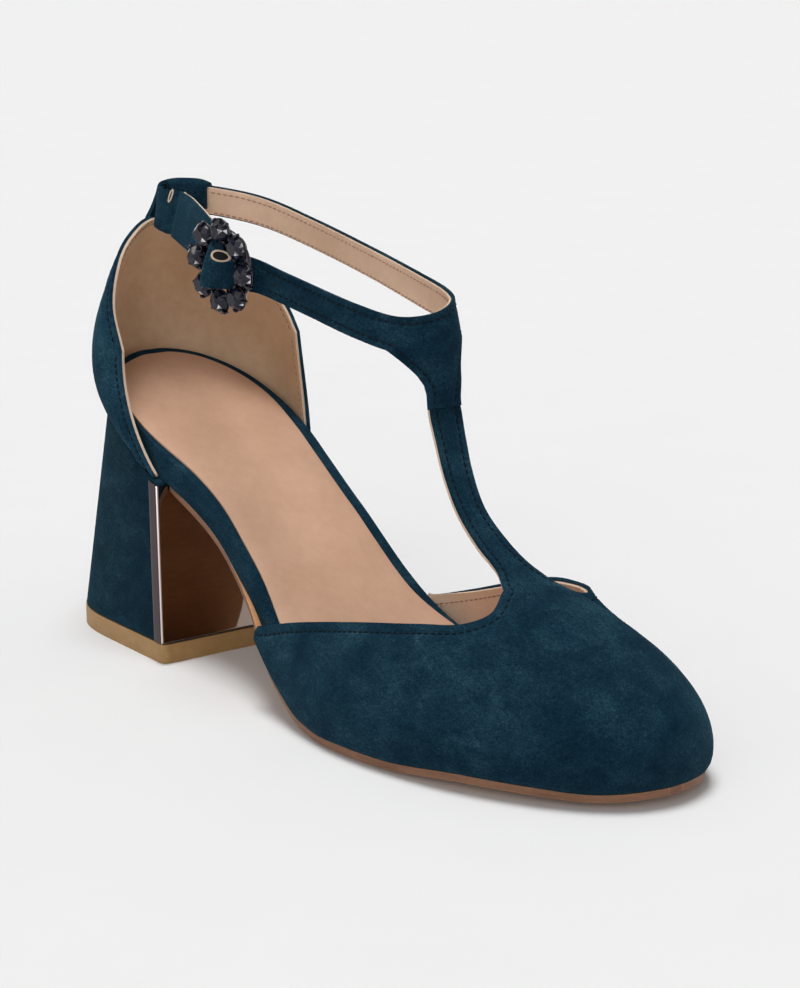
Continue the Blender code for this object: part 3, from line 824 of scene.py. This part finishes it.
def finder(face, keys):
    """Function that gives the corner of a face nearest to a spot, out of some corners, and how far it is."""
    keys = list(keys)
    tree = KDTree(len(keys))
    for number, key in enumerate(keys):
        tree.insert(face[key][0], number)
    tree.balance()

    def find(spot):
        _, number, distance = tree.find(spot)
        return keys[number], distance

    return find


def seam(face, keys, inset, depth, turn=1):
    """Stitch row inside a face's edge, whose corners run with the face on their left seen from outside.

    inset is a distance, or a function of the corner that gives it.
    """
    find = finder(face, face)
    row = []
    for before, here, after in zip(keys, keys[2:], keys[4:]):
        along = face[after][0] - face[before][0]
        spot = face[here][0] + face[here][1].cross(along).normalized() * at_corner(inset, here)
        near, out = face[find(spot)[0]]
        row.append((spot - out * ((spot - near).dot(out) + depth), out * turn))
    return row


def sew_both(name, face, outside, inside, depth):
    """Stitches outside and inside a wall, along rows given as (corners of its face, inset)."""
    rows = [seam(face, keys, inset, SEAM_DIP) for keys, inset in outside]
    sew(name + "_seams", rows, DARK_THREAD)
    rows = [seam(face, keys, inset, depth, -1) for keys, inset in inside]
    sew(name + "_lining_seams", rows, TAN_THREAD)


# Plates that follow the insole outline
def plate(start, end, grow, low, high):
    def place(across, along, through):
        share = mix(start, end, along)
        outer = edge(share, OUTER, grow(share, OUTER))
        inner = edge(share, INNER, grow(share, INNER))
        spot = outer.lerp(inner, across)
        return spot.x, spot.y, tread(spot) + mix(low, high, through)
    return place


def build_sole():
    across = evenly(0, 1, 10)
    along = evenly(0, 1, 170)
    breast = share_at(BREAST_TOP + 2.0)
    sheet = brick(plate(breast, 0.985, sole_grow, 0.0, SOLE_T), (across, along, [0, 1]), 0.55)
    piece("outsole_sheet", sheet, [SOLE, SOLE_EDGE], ["outsole"])
    board = plate(0.02, 0.985, board_grow, SOLE_T + CLEAR, SOLE_T + BOARD_T)
    wrapped = brick(board, (across, along, evenly(0, 1, 4)), 1.1)
    piece("insole_board", wrapped, [SUEDE, SUEDE], ["insole"])
    deck = SOLE_T + BOARD_T + CLEAR
    sock = brick(plate(0.03, 0.975, sock_grow, deck, deck + SOCK_T), (across, along, [0, 1]), 0.35)
    piece("leather_sock", sock, [SOCK, SOCK], ["sock"])


# Heel
def lift_edge(along, grow):
    forward = mix(LIFT_BACK - grow, BREAST_FOOT + grow, along)
    reach = min(1.0, (forward - LIFT_BACK + grow) / LIFT_ROUND)
    bow = (1 - (1 - reach) ** LIFT_POWER) ** (1 / LIFT_POWER)
    return forward, (LIFT_HALF + grow) * bow


def seat_spot(across, along):
    share = mix(0.02, share_at(BREAST_TOP), along)
    grow = GAP + WALL + HEEL_OUT + seat_grow(share, OUTER)
    return edge(share, OUTER, grow).lerp(edge(share, INNER, grow), across)


def heel_place(across, along, up):
    top = seat_spot(across, along)
    depth = (top.x - seat_spot(0.5, 0).x) / (seat_spot(0.5, 1).x - seat_spot(0.5, 0).x)
    forward, half = lift_edge(mix(LIFT_TIP, 1.0, depth), 0.0)
    high = profile_at(top.x)[0] + SOLE_T - GAP
    side = mix(-half, half, across)
    return Vector((mix(forward, top.x, up), mix(side, top.y, up), mix(LIFT_T + GAP, high, up)))


def lift_place(across, along, up):
    forward, half = lift_edge(mix(LIFT_TIP, 1.0, ease(along)), LIFT_GROW)
    over = max(0.0, forward - BREAST_FOOT - LIFT_GROW + LIFT_CORNER)
    half -= LIFT_CORNER - math.sqrt(max(0.0, LIFT_CORNER ** 2 - over ** 2))
    return forward, mix(-half, half, across), LIFT_T * up


def panel_path(rise):
    """Plan of the breast panel at a height: turned edge, round corner, breast, corner, turned edge."""
    away = PANEL_OFF + PANEL_T
    ends = []
    for side, out in ((0.0, -away), (1.0, away)):
        spot = heel_place(side, 1.0, rise)
        behind = spot + (heel_place(side, 0.9, rise) - spot).normalized() * PANEL_WRAP
        ends.append((behind + Vector((0, out, 0)), spot + Vector((away, out, 0))))
    (first, left), (last, right) = ends
    path = [first.lerp(left, k / 4) for k in range(4)]
    path += fillet(first, left, right)
    path += [left.lerp(right, mix(0.04, 0.96, k / 20)) for k in range(21)]
    path += fillet(left, right, last)
    return path + [right.lerp(last, k / 4) for k in range(1, 5)]


def fillet(before, corner, after, radius=1.1, steps=6):
    start = corner + (before - corner).normalized() * radius
    end = corner + (after - corner).normalized() * radius
    return [start.lerp(corner, t).lerp(corner.lerp(end, t), t) for t in evenly(0, 1, steps)]


def build_heel():
    along = [t * (2 - t) * 0.35 + t * 0.65 for t in evenly(0, 1, 70)]
    block = brick(heel_place, (evenly(0, 1, 12), along, evenly(0, 1, 16)), 0.5)
    # The heel cover wears the suede's darker copy: painted shade.
    piece("heel_cover", block, [HEEL_SUEDE_PAINTED_SHADE, HEEL_SUEDE_PAINTED_SHADE], ["heel"])
    lift = brick(lift_place, (evenly(0, 1, 8), evenly(0, 1, 70), [0, 1]), 0.45)
    piece("heel_lift", lift, [RUBBER, RUBBER], ["top_lift"])
    rises = merged(evenly(0.012, 0.985, 16), [0.022, 0.975])
    paths = [panel_path(rise) for rise in rises]
    cells = list(product(range(len(paths[0]) - 1), range(len(rises) - 1)))
    film = layer(skin(lambda i, j: paths[j][i], cells), cells, 0.0, PANEL_T, 0.25)
    # Breast face gets the lighter film, round corners the painted highlight, turned edges the darker film:
    # painted reflection and shade.
    for face in film.faces:
        forward, sideways = abs(face.normal.x), abs(face.normal.y)
        face.material_index = 1 if forward > 0.90 else 2 if sideways < 0.85 else 0
    piece("breast_mirror_film", film, [MIRROR, MIRROR_FACE_PAINTED_LIGHT, MIRROR_PAINTED_HIGHLIGHT], ["breast_panel"])


# Vamp
def vamp_foot(share):
    side = OUTER if share <= 0.5 else INNER
    along = mix(share_at(VAMP_END[side - 1]), 1.0, 1 - abs(2 * share - 1))
    spot = edge(along, side, mix(*VAMP_OUT, step(rim(along, side).x, *SOLE_STEP)))
    return Vector((spot.x, spot.y, tread(spot) + SOLE_T + GAP)), outward(along, side)


def vamp_spot(share, up):
    """Outer face of the vamp, from the sole up to the topline."""
    foot, away = vamp_foot(share)
    top = Vector(topline_at(share))
    toe = ease(1 - abs(2 * share - 1))
    turn = math.radians(mix(*VAMP_ROLL, toe))
    inward = (1 - math.cos(turn * up)) / (1 - math.cos(turn))
    rise = math.sin(turn * up) / math.sin(turn)
    waist, outer, inner = VAMP_BULGE
    full = mix(waist, mix(outer, inner, step(share, 0.4, 0.7)), toe) * math.sin(math.pi * up ** 0.62)
    spot = Vector((mix(foot.x, top.x, inward), mix(foot.y, top.y, inward), mix(foot.z, top.z, rise)))
    deep, start, middle, end = VAMP_HOLLOW
    near = step(share, start, middle) * (1 - step(share, middle, end))
    hollow = deep * near * math.sin(math.pi * up ** 3)
    return spot + Vector((away.x, away.y, 0.15)) * full - Vector((away.x, away.y, 0.5)) * hollow


def rise_line(across, up):
    forward, sideways, height, half = rise_at(up * (len(RISE) - 1))
    return Vector((forward, sideways + mix(-half, half, across), height))


def rise_spot(across, up):
    """Outer face of the T-strap, from the throat up."""
    share = mix(STRAP_FROM, STRAP_TO, across)
    fade = max(0.0, 1 - up / 0.3) ** 2
    return rise_line(across, up) + (Vector(topline_at(share)) - rise_line(across, 0.0)) * fade


def build_vamp():
    lip = 0.0045
    shares = merged(evenly(0, 1, 200), [lip, 1 - lip], evenly(STRAP_FROM, STRAP_TO, 34),
                    [STRAP_FROM + 2 * lip, STRAP_TO - 2 * lip])
    ups = merged(evenly(0, 0.84, 26), evenly(0.84, 1, 16))
    rises = evenly(0, 1, 60)
    top = len(ups) - 1
    first = nearest(shares, STRAP_FROM)
    last = nearest(shares, STRAP_TO)

    def across(i):
        return (shares[i] - STRAP_FROM) / (STRAP_TO - STRAP_FROM)

    def place(i, j):
        return vamp_spot(shares[i], ups[j]) if j <= top else rise_spot(across(i), rises[j - top])

    cells = list(product(range(len(shares) - 1), range(top)))
    cells += product(range(first, last), range(top, top + len(rises) - 1))
    throat = product(range(first - 4, last + 5), range(top - 10, top + 14))
    face = skin(place, cells, throat, 14)

    def inset(key):
        return TOPLINE_SEAM if key[1] == top else SEAM_IN

    peak = top + len(rises) - 5
    inner_edge = [(i, top) for i in range(len(shares) - 1, last, -1)] + [(last, j) for j in range(top, peak)]
    outer_edge = [(first, j) for j in range(peak, top, -1)] + [(i, top) for i in range(first, -1, -1)]
    find = finder(face, inner_edge + outer_edge)

    def dip(key):
        near, distance = find(face[key][0])
        return groove(distance, inset(near))

    upper = layer(face, cells, dip, SUEDE_T, 0.42)
    piece("vamp_suede", upper, [SUEDE, SUEDE], ["vamp"])
    lined = [(i, j) for i, j in cells if 0 < i < len(shares) - 2 and (j < top - 1 or first <= i < last - 1)]
    lining = layer(face, lined, SUEDE_T, WALL, 0.25)
    # Vamp lining in the lining's lighter copy: painted light.
    piece("vamp_lining", lining, [LINING_PAINTED_LIGHT, RAW_EDGE])
    rows = [(inner_edge, inset), (outer_edge, inset)]
    sew_both("vamp", face, rows, rows, WALL)


# Counter
def counter_spot(share, up):
    """Outer face of the counter, from the heel up to the collar."""
    side = INNER if share <= 0.5 else OUTER
    along = mix(share_at(COUNTER_END[side - 1]), 0.0, 1 - abs(2 * share - 1))
    spot = edge(along, side, GAP + WALL + COUNTER_OUT + seat_grow(along, side))
    away = outward(along, side)
    top = Vector(collar_at(share))
    back = ease(1 - abs(2 * share - 1))
    lean = mix(1 - (1 - up) ** COUNTER_BOW[side - 1], up ** 1.8, back)
    near = ease(2.2 * (1 - abs(2 * share - 1)))
    full = mix(*COUNTER_BULGE, near) * math.sin(math.pi * up ** 0.75)
    side_spot = spot.lerp(top.xy, lean) + away * full
    return Vector((*side_spot, mix(profile_at(spot.x)[0] + SOLE_T, top.z, up)))


def build_counter():
    lip = 0.004
    shares = merged(evenly(0, 1, 150), [lip, 1 - lip])
    ups = merged(evenly(0, 0.88, 30), evenly(0.88, 1, 14))
    top = len(ups) - 1
    cells = list(product(range(len(shares) - 1), range(top)))
    face = skin(lambda i, j: counter_spot(shares[i], ups[j]), cells)

    end = len(shares) - 1
    fronts = [[(end, j) for j in range(top - 2)], [(0, j) for j in range(top - 3, -1, -1)]]
    collar = [(i, top) for i in range(end - 2, 1, -1)]
    find = finder(face, fronts[0] + collar + fronts[1])

    def dip(key):
        distance = find(face[key][0])[1]
        away, wide, high = COLLAR_WELT
        return groove(distance) - high * hump(distance - away, wide) * step(shares[key[0]], 0.6, 0.7)

    upper = layer(face, cells, dip, SUEDE_T, 0.4)
    # The counter wears the suede's lighter copy: painted sheen.
    piece("counter_suede_painted_sheen", upper, [COUNTER_SUEDE_PAINTED_SHEEN, COUNTER_SUEDE_PAINTED_SHEEN], ["counter"])
    lined = [(i, j) for i, j in cells if i > 0 and (j < top - 1 or shares[i] > 0.5)]
    lining = layer(face, lined, SUEDE_T, WALL, 0.25)
    piece("counter_lining", lining, [LINING, RAW_EDGE])
    rows = [(keys, SEAM_IN) for keys in (fronts[0], collar, fronts[1])]
    sew_both("counter", face, rows, rows, WALL)


# Ankle strap
def strap_way(place):
    """Middle of the strap's outer face, from there to its top edge, and the directions along and out."""
    forward, sideways, height, half, lean = strap_at(place)
    ahead = Vector(strap_at(min(place + 0.05, STRAP_END))[:3])
    behind = Vector(strap_at(max(place - 0.05, 0.0))[:3])
    along = (ahead - behind).normalized()
    out = along.cross(UP).normalized()
    return Vector((forward, sideways, height)), UP * half - out * lean, along, out


def buckle_axes():
    """Middle of the ring, and the directions along the strap, up and out."""
    spot, _, along, out = strap_way(BAR_ROW)
    up = UP - out * math.tan(math.radians(RING_TILT))
    up = (up - along * up.dot(along)).normalized()
    out = along.cross(up)
    return spot + out * RING_OUT, along, up, out


BAR_SPOT = strap_way(BAR_ROW)[0]
RING_MIDDLE, RING_ALONG, RING_UP, RING_AXIS = buckle_axes()


def strap_spot(place, up):
    """Outer face of the strap, lifted over the buckle's bar."""
    spot, reach, _, out = strap_way(place)
    lift = -CREASE[2] * hump(place - CREASE[0], CREASE[1])
    if place < 4:
        near = (spot - BAR_SPOT).length
        puff = mix(PUFF[1], PUFF[0], up) + CROWN * (1 - (2 * up - 1) ** 2)
        lift = BAR_LIFT * hump(near, BAR_SPREAD) + puff * hump(near, PUFF_SPREAD)
    return spot + out * lift + reach * mix(-1.0, 1.0, up)


def stem_line(across, down):
    forward, sideways, height, half = stem_at(down * (len(STEM) - 1))
    middle, all_of_it = STEM_BOW
    bow = (middle * (1 - (2 * across - 1) ** 2) - all_of_it) * (1 - down)
    return Vector((forward + bow, sideways + mix(-half, half, across), height))


def pare(down):
    """How far the stem is pared down, 0 at the strap and 1 at its foot."""
    return step(down, 0.4, 1.0)


def stem_spot(across, down):
    """Outer face of the yoke stem, from the strap's lower edge down."""
    fade = max(0.0, 1 - down / 0.75) ** 2
    low = strap_spot(mix(YOKE_FROM, YOKE_TO, across), 0.0)
    pared = Vector((STEM_SKIVE * pare(down), 0, 0))
    return stem_line(across, down) + (low - stem_line(across, 0.0)) * fade - pared


def build_strap():
    lip = 0.04
    places = merged(evenly(0, YOKE_FROM, 170), evenly(YOKE_FROM, YOKE_TO, 44),
                    evenly(YOKE_TO, STRAP_END, 280), [YOKE_FROM + lip, YOKE_TO - lip])
    ups = merged(evenly(0, 1, 14), [0.045, 0.955])
    downs = evenly(0, 1, 34)
    top = len(ups) - 1
    deep = len(downs) - 1
    first = nearest(places, YOKE_FROM)
    last = nearest(places, YOKE_TO)

    def place(i, j):
        if j >= 0:
            return strap_spot(places[i], ups[j])
        return stem_spot((places[i] - YOKE_FROM) / (YOKE_TO - YOKE_FROM), downs[-j])

    cells = list(product(range(len(places) - 1), range(top)))
    cells += product(range(first, last), range(-deep, 0))
    yoke = product(range(first - 3, last + 4), range(-12, top - 3))
    face = skin(place, cells, yoke, 16)

    start, end = (bisect.bisect_left(places, place) for place in (2.0, LOOP_FROM))
    above = [(i, top) for i in range(end, start, -1)]
    before = [(i, 0) for i in range(start, first)]
    after = [(i, 0) for i in range(last + 1, end)]
    left = before + [(first, j) for j in range(0, -deep, -1)]
    right = [(last, j) for j in range(1 - deep, 1)] + after
    find = finder(face, above + left + right)

    def dip(key):
        return groove(find(face[key][0])[1])

    def thick(key):
        """Thickness of the suede, which fills the stem where it lies over the T-strap."""
        down = downs[-key[1]] if key[1] < 0 else 0.0
        start, thicker, full = STEM_LAP
        filled = STRAP_T + (GAP + STEM_SINK) * step(down, thicker, full)
        return SUEDE_T if down < start else filled - STEM_SKIVE * pare(down)

    upper = layer(face, cells, dip, thick, 0.4)
    piece("strap_suede", upper, [SUEDE, SUEDE], ["ankle_strap"])
    # Past the buckle's bar the lining is left off, so the dark suede shows inside the fold there: painted
    # shade.
    lined = [(i, j) for i, j in cells
             if (0 < j < top - 1 or first <= i < last or places[i] > CREASE[0]) and j > -deep // 2
             and places[i] > BAR_ROW + 0.9 and not LOOP_TO - 0.2 < places[i] < CREASE[0] - 0.15]
    lining = layer(face, lined, SUEDE_T, STRAP_T, 0.2)
    # Strap lining in the lining's lighter copy: painted light.
    piece("strap_lining", lining, [LINING_PAINTED_LIGHT, RAW_EDGE])
    outside = [(keys, SEAM_IN) for keys in (above, left, right)]
    inside = [(above, SEAM_IN), (before, LINING_SEAM), (after, LINING_SEAM)]
    sew_both("strap", face, outside, inside, STRAP_T)


# Holes in the strap
STRAP_HOLES = [
    # row, share up, half length, half height, width of the raw rim, turn in degrees
    (1.24, 0.83, 1.35, 1.15, 0.5, 0.0),
    (16.60, 0.86, 0.35, 1.7, 0.6, -12.0),
    (2.32, 0.50, 0.45, 0.45, 0.0, 0.0),
]
HOLE_SIDES = 24


def build_holes():
    """Punched holes: a raw leather rim round a dark oval of painted shade that follows the strap's face."""
    mesh = bmesh.new()
    for row, up, long, high, rim_wide, tilt in STRAP_HOLES:
        spin = Matrix.Rotation(math.radians(tilt), 2)
        rings = []
        section = [(0.15, 0.0)]
        if rim_wide:
            section = [(rim_wide, 0.0), (rim_wide * 0.8, 0.22), (rim_wide * 0.3, 0.22)]
        for grow, lift in section + [(0.0, 0.08), (-0.3 * min(long, high), 0.06)]:
            ring = []
            for turn in evenly(0, 2 * math.pi, HOLE_SIDES)[:-1]:
                off = spin @ Vector(((long + grow) * math.cos(turn), (high + grow) * math.sin(turn)))
                ring.append(mesh.verts.new(to_row(hole_spot(row, up, *off, lift))))
            rings.append(ring)
        rows = walls(mesh, rings)
        for face in rows[-1] if rim_wide else sum(rows, []):
            face.material_index = 1
        mesh.faces.new(rings[-1]).material_index = 1
    face_out(mesh)
    piece("strap_holes", mesh, [RAW_EDGE, HOLE_PAINTED_SHADE])


def hole_spot(row, up, along, above, lift):
    """Spot of a hole laid down on the strap's curved face, along and above the hole's middle."""
    pace = (strap_way(row + 0.01)[0] - strap_way(row)[0]).length * 100
    place = row + along / pace
    share = up + above / (2 * strap_at(row)[3])
    ahead = strap_spot(place + 0.04, share) - strap_spot(place - 0.04, share)
    upward = strap_spot(place, min(share + 0.002, 1.0)) - strap_spot(place, share - 0.002)
    return strap_spot(place, share) + ahead.cross(upward).normalized() * lift


# Back loop
def loop_place(round_it, along, through):
    """Folded band: up outside the strap, over it, down inside."""
    flare = LOOP_FLARE * max(0.0, 1 - round_it / 0.4)
    spot, _, _, out = strap_way(mix(LOOP_FROM, LOOP_TO + flare, along))
    way = round_it * (len(LOOP_SECTION) - 1)
    off, high = loop_at(way)
    next_off, next_high = loop_at(min(way + 0.1, len(LOOP_SECTION) - 1.0))
    last_off, last_high = loop_at(max(way - 0.1, 0.0))
    turn = Vector((next_high - last_high, last_off - next_off)).normalized()
    off -= turn.x * LOOP_T * through
    high -= turn.y * LOOP_T * through
    end = max(0.0, 1 - along / 0.16)
    high -= LOOP_SHOULDER * end ** 2 * ease(1 - abs(round_it - 0.5) / 0.3)
    side = spot + out * off
    return side.x, side.y, spot.z + high


def build_loop():
    band = brick(loop_place, (evenly(0, 1, 64), evenly(0, 1, 40), [0, 1]), 0.4)
    piece("back_loop_suede", band, [SUEDE, SUEDE], ["back_loop"])


# Buckle
def ring_spot(angle, reach, out_by):
    turn = math.radians(angle)
    arm = RING_ALONG * math.cos(turn) + RING_UP * math.sin(turn)
    return RING_MIDDLE + arm * reach + RING_AXIS * out_by


def build_buckle():
    mesh = bmesh.new()
    circle = [ring_spot(angle, RING_R - RING_TUCK, 0.0) for angle in evenly(0, 360, 72)[:-1]]
    tube(mesh, circle, [WIRE_R] * len(circle), RING_AXIS, 12, True)
    bar = [ring_spot(BAR_TURN, mix(-RING_R, RING_R, t), 0.0) for t in evenly(0, 1, 8)]
    tube(mesh, bar, [WIRE_R * 0.8] * len(bar), RING_AXIS, 12)
    for number in range(STONES):
        cup(mesh, stone_angle(number))
    face_out(mesh)
    piece("buckle_ring", mesh, [METAL], ["buckle_frame"])
    for number in range(STONES):
        cut_stone(number)


def stone_angle(number):
    return STONE_TURN - number * 360.0 / STONES


def stone_spot(angle, reach, turn, high):
    """Spot on a stone: a share of its radius at a turn about its axis, at a height over the ring."""
    middle = ring_spot(angle, RING_R, WIRE_R + 0.15 + high)
    turn = math.radians(turn + angle)
    return middle + (RING_ALONG * math.cos(turn) + RING_UP * math.sin(turn)) * STONE_R * reach


CUP_SECTION = [
    # radius share, height
    (0.50, -0.30),
    (0.84, 0.10),
    (1.03, 0.95),
    (1.06, 1.45),
    (0.99, 1.50),
    (0.80, 0.60),
]
CLAWS = 4
# Order in which dark facets, grey facets of painted reflection and bright facets of painted glint come
PAINTED_GLINT_PATTERN = (0, 1, 0, 2, 0, 0, 1, 0, 2, 0, 0, 1, 0)


def cup(mesh, angle):
    """Metal cup of a stone, with claws over its girdle."""
    turns = evenly(0, 360, 20)[:-1]
    rings = [[mesh.verts.new(to_row(stone_spot(angle, reach, turn, high))) for turn in turns]
             for reach, high in CUP_SECTION]
    walls(mesh, rings)
    mesh.faces.new(rings[0])
    mesh.faces.new(rings[-1])
    for claw in range(CLAWS):
        turn = 45.0 + claw * 360.0 / CLAWS
        path = [stone_spot(angle, reach, turn, high)
                for reach, high in ((1.06, 0.9), (1.06, 1.9), (0.97, 2.5), (0.86, 2.75))]
        tube(mesh, path, [0.5, 0.52, 0.46, 0.26], RING_UP if claw % 2 else RING_ALONG, 8)


def cut_stone(number):
    """Brilliant cut: table, star, main and girdle facets over a plain cone."""
    angle = stone_angle(number)
    mesh = bmesh.new()

    def ring(reach, high, count, turn):
        return [mesh.verts.new(to_row(stone_spot(angle, reach, turn + 360.0 * k / count, high * STONE_H)))
                for k in range(count)]

    table = ring(0.54, 1.0, 8, 0.0)
    star = ring(0.80, 0.77, 8, 22.5)
    girdle = ring(0.985, 0.46, 16, 0.0)
    band = ring(0.985, 0.38, 16, 0.0)
    foot = ring(0.60, 0.04, 16, 0.0)
    # Every other stone's table is grey: a painted reflection.
    mesh.faces.new(table).material_index = number % 2
    mesh.faces.new(foot)
    for k in range(8):
        after = (k + 1) % 8
        facets = [
            mesh.faces.new([table[k], star[k], table[after]]),
            mesh.faces.new([table[k], star[k - 1], girdle[2 * k], star[k]]),
            mesh.faces.new([star[k], girdle[2 * k], girdle[2 * k + 1]]),
            mesh.faces.new([star[k], girdle[2 * k + 1], girdle[(2 * k + 2) % 16]]),
        ]
        # Facets get painted reflections and glints in the pattern's order.
        for place, facet in enumerate(facets):
            turn = number * 5 + k * 4 + place * 3 + k * place
            facet.material_index = PAINTED_GLINT_PATTERN[turn % len(PAINTED_GLINT_PATTERN)]
    walls(mesh, [girdle, band, foot])
    face_out(mesh)
    piece("cut_stone_%d" % (number + 1), mesh, STONE_FACETS, ["stone_%d" % (number + 1)], False)


# Studio
CAMERA = (665.7, -394.1, 232.0)
AIM = (139.6, 0.0, 66.9)
ROLL = 0.15  # degrees
LENS = 104.0  # for a 36 mm wide picture
PALE = 0.88  # brightness of floor and backdrop


def build_camera():
    data = bpy.data.cameras.new("camera")
    data.sensor_fit = "HORIZONTAL"
    data.sensor_width = 36.0
    data.lens = LENS
    data.clip_start = 0.01
    item = placed("camera", data)
    look = Vector(AIM) - Vector(CAMERA)
    turn = look.to_track_quat("-Z", "Y").to_matrix() @ Matrix.Rotation(math.radians(ROLL), 3, "Z")
    item.matrix_world = Matrix.Translation(to_row(CAMERA)) @ turn.to_4x4()
    bpy.context.scene.camera = item


def build_floor():
    paint, tree, shader = shader_of("pale_floor", Roughness=0.9, Specular_IOR_Level=0.0)
    tone = floor_tone()
    tint(tree, shader, noise(tree, 40.0), [(0.3, (tone - 0.004,) * 3), (0.7, (tone + 0.004,) * 3)])
    mesh = bmesh.new()
    bmesh.ops.create_grid(mesh, x_segments=2, y_segments=2, size=400.0)
    painted("floor", mesh, [paint])


DIM = 0.24  # brightness of the surround above the horizon's pale band
BAND = (0.20, 0.50)  # height of a direction where the pale band starts to fade, and where it ends
SOFTBOXES = [
    # towards the light, half angle of its core and of its edge in degrees, strength
    ((-0.02, -0.03, 1.00), 3.0, 16.0, 21.0),
    ((0.50, -0.80, 0.60), 6.0, 34.0, 1.1),
    ((0.76, -0.62, 0.26), 2.0, 8.0, 6.0),
]
# What the studio's brightness is made of: direction, cosines between which it changes, the two values
GLOWS = [(UP, BAND[0], BAND[1], PALE, DIM)]
for towards, core, rim_angle, strength in SOFTBOXES:
    cosines = [math.cos(math.radians(angle)) for angle in (rim_angle, core)]
    GLOWS.append((Vector(towards).normalized(), *cosines, 0.0, strength))


def floor_tone():
    """Floor colour that looks as bright as the backdrop under this light."""
    rings, turns = 90, 120
    light = 0.0
    for ring in range(rings):
        angle = (ring + 0.5) / rings * math.pi / 2
        share = math.sin(angle) * math.cos(angle) * math.pi / (rings * turns)
        for turn in range(turns):
            way = 2 * math.pi * (turn + 0.5) / turns
            sideways = math.sin(angle)
            seen = Vector((sideways * math.cos(way), sideways * math.sin(way), math.cos(angle)))
            for towards, start, end, first, last in GLOWS:
                light += mix(first, last, step(seen.dot(towards), start, end)) * share
    return PALE / light


def build_light():
    """Pale band round the horizon, dimmer above, with soft boxes faded into it."""
    world = bpy.data.worlds.new("studio")
    world.use_nodes = True
    tree = world.node_tree
    place = node(tree, "TexCoord").outputs["Generated"]
    parts = []
    for towards, start, end, first, last in GLOWS:
        dot = node(tree, "VectorMath")
        dot.operation = "DOT_PRODUCT"
        tree.links.new(place, dot.inputs[0])
        dot.inputs[1].default_value = towards
        fade = node(tree, "MapRange", Value=dot.outputs["Value"], From_Min=start, From_Max=end,
                    To_Min=first, To_Max=last)
        fade.interpolation_type = "SMOOTHSTEP"
        parts.append((fade.outputs["Result"], 1.0))
    total = weigh(tree, *parts)
    tree.links.new(total, tree.nodes["Background"].inputs["Strength"])
    tree.nodes["Background"].inputs["Color"].default_value = (1, 1, 1, 1)
    bpy.context.scene.world = world
    bpy.context.scene.view_settings.view_transform = "Standard"


build_camera()
build_light()
build_floor()
build_sole()
build_heel()
build_vamp()
build_counter()
build_strap()
build_holes()
build_loop()
build_buckle()
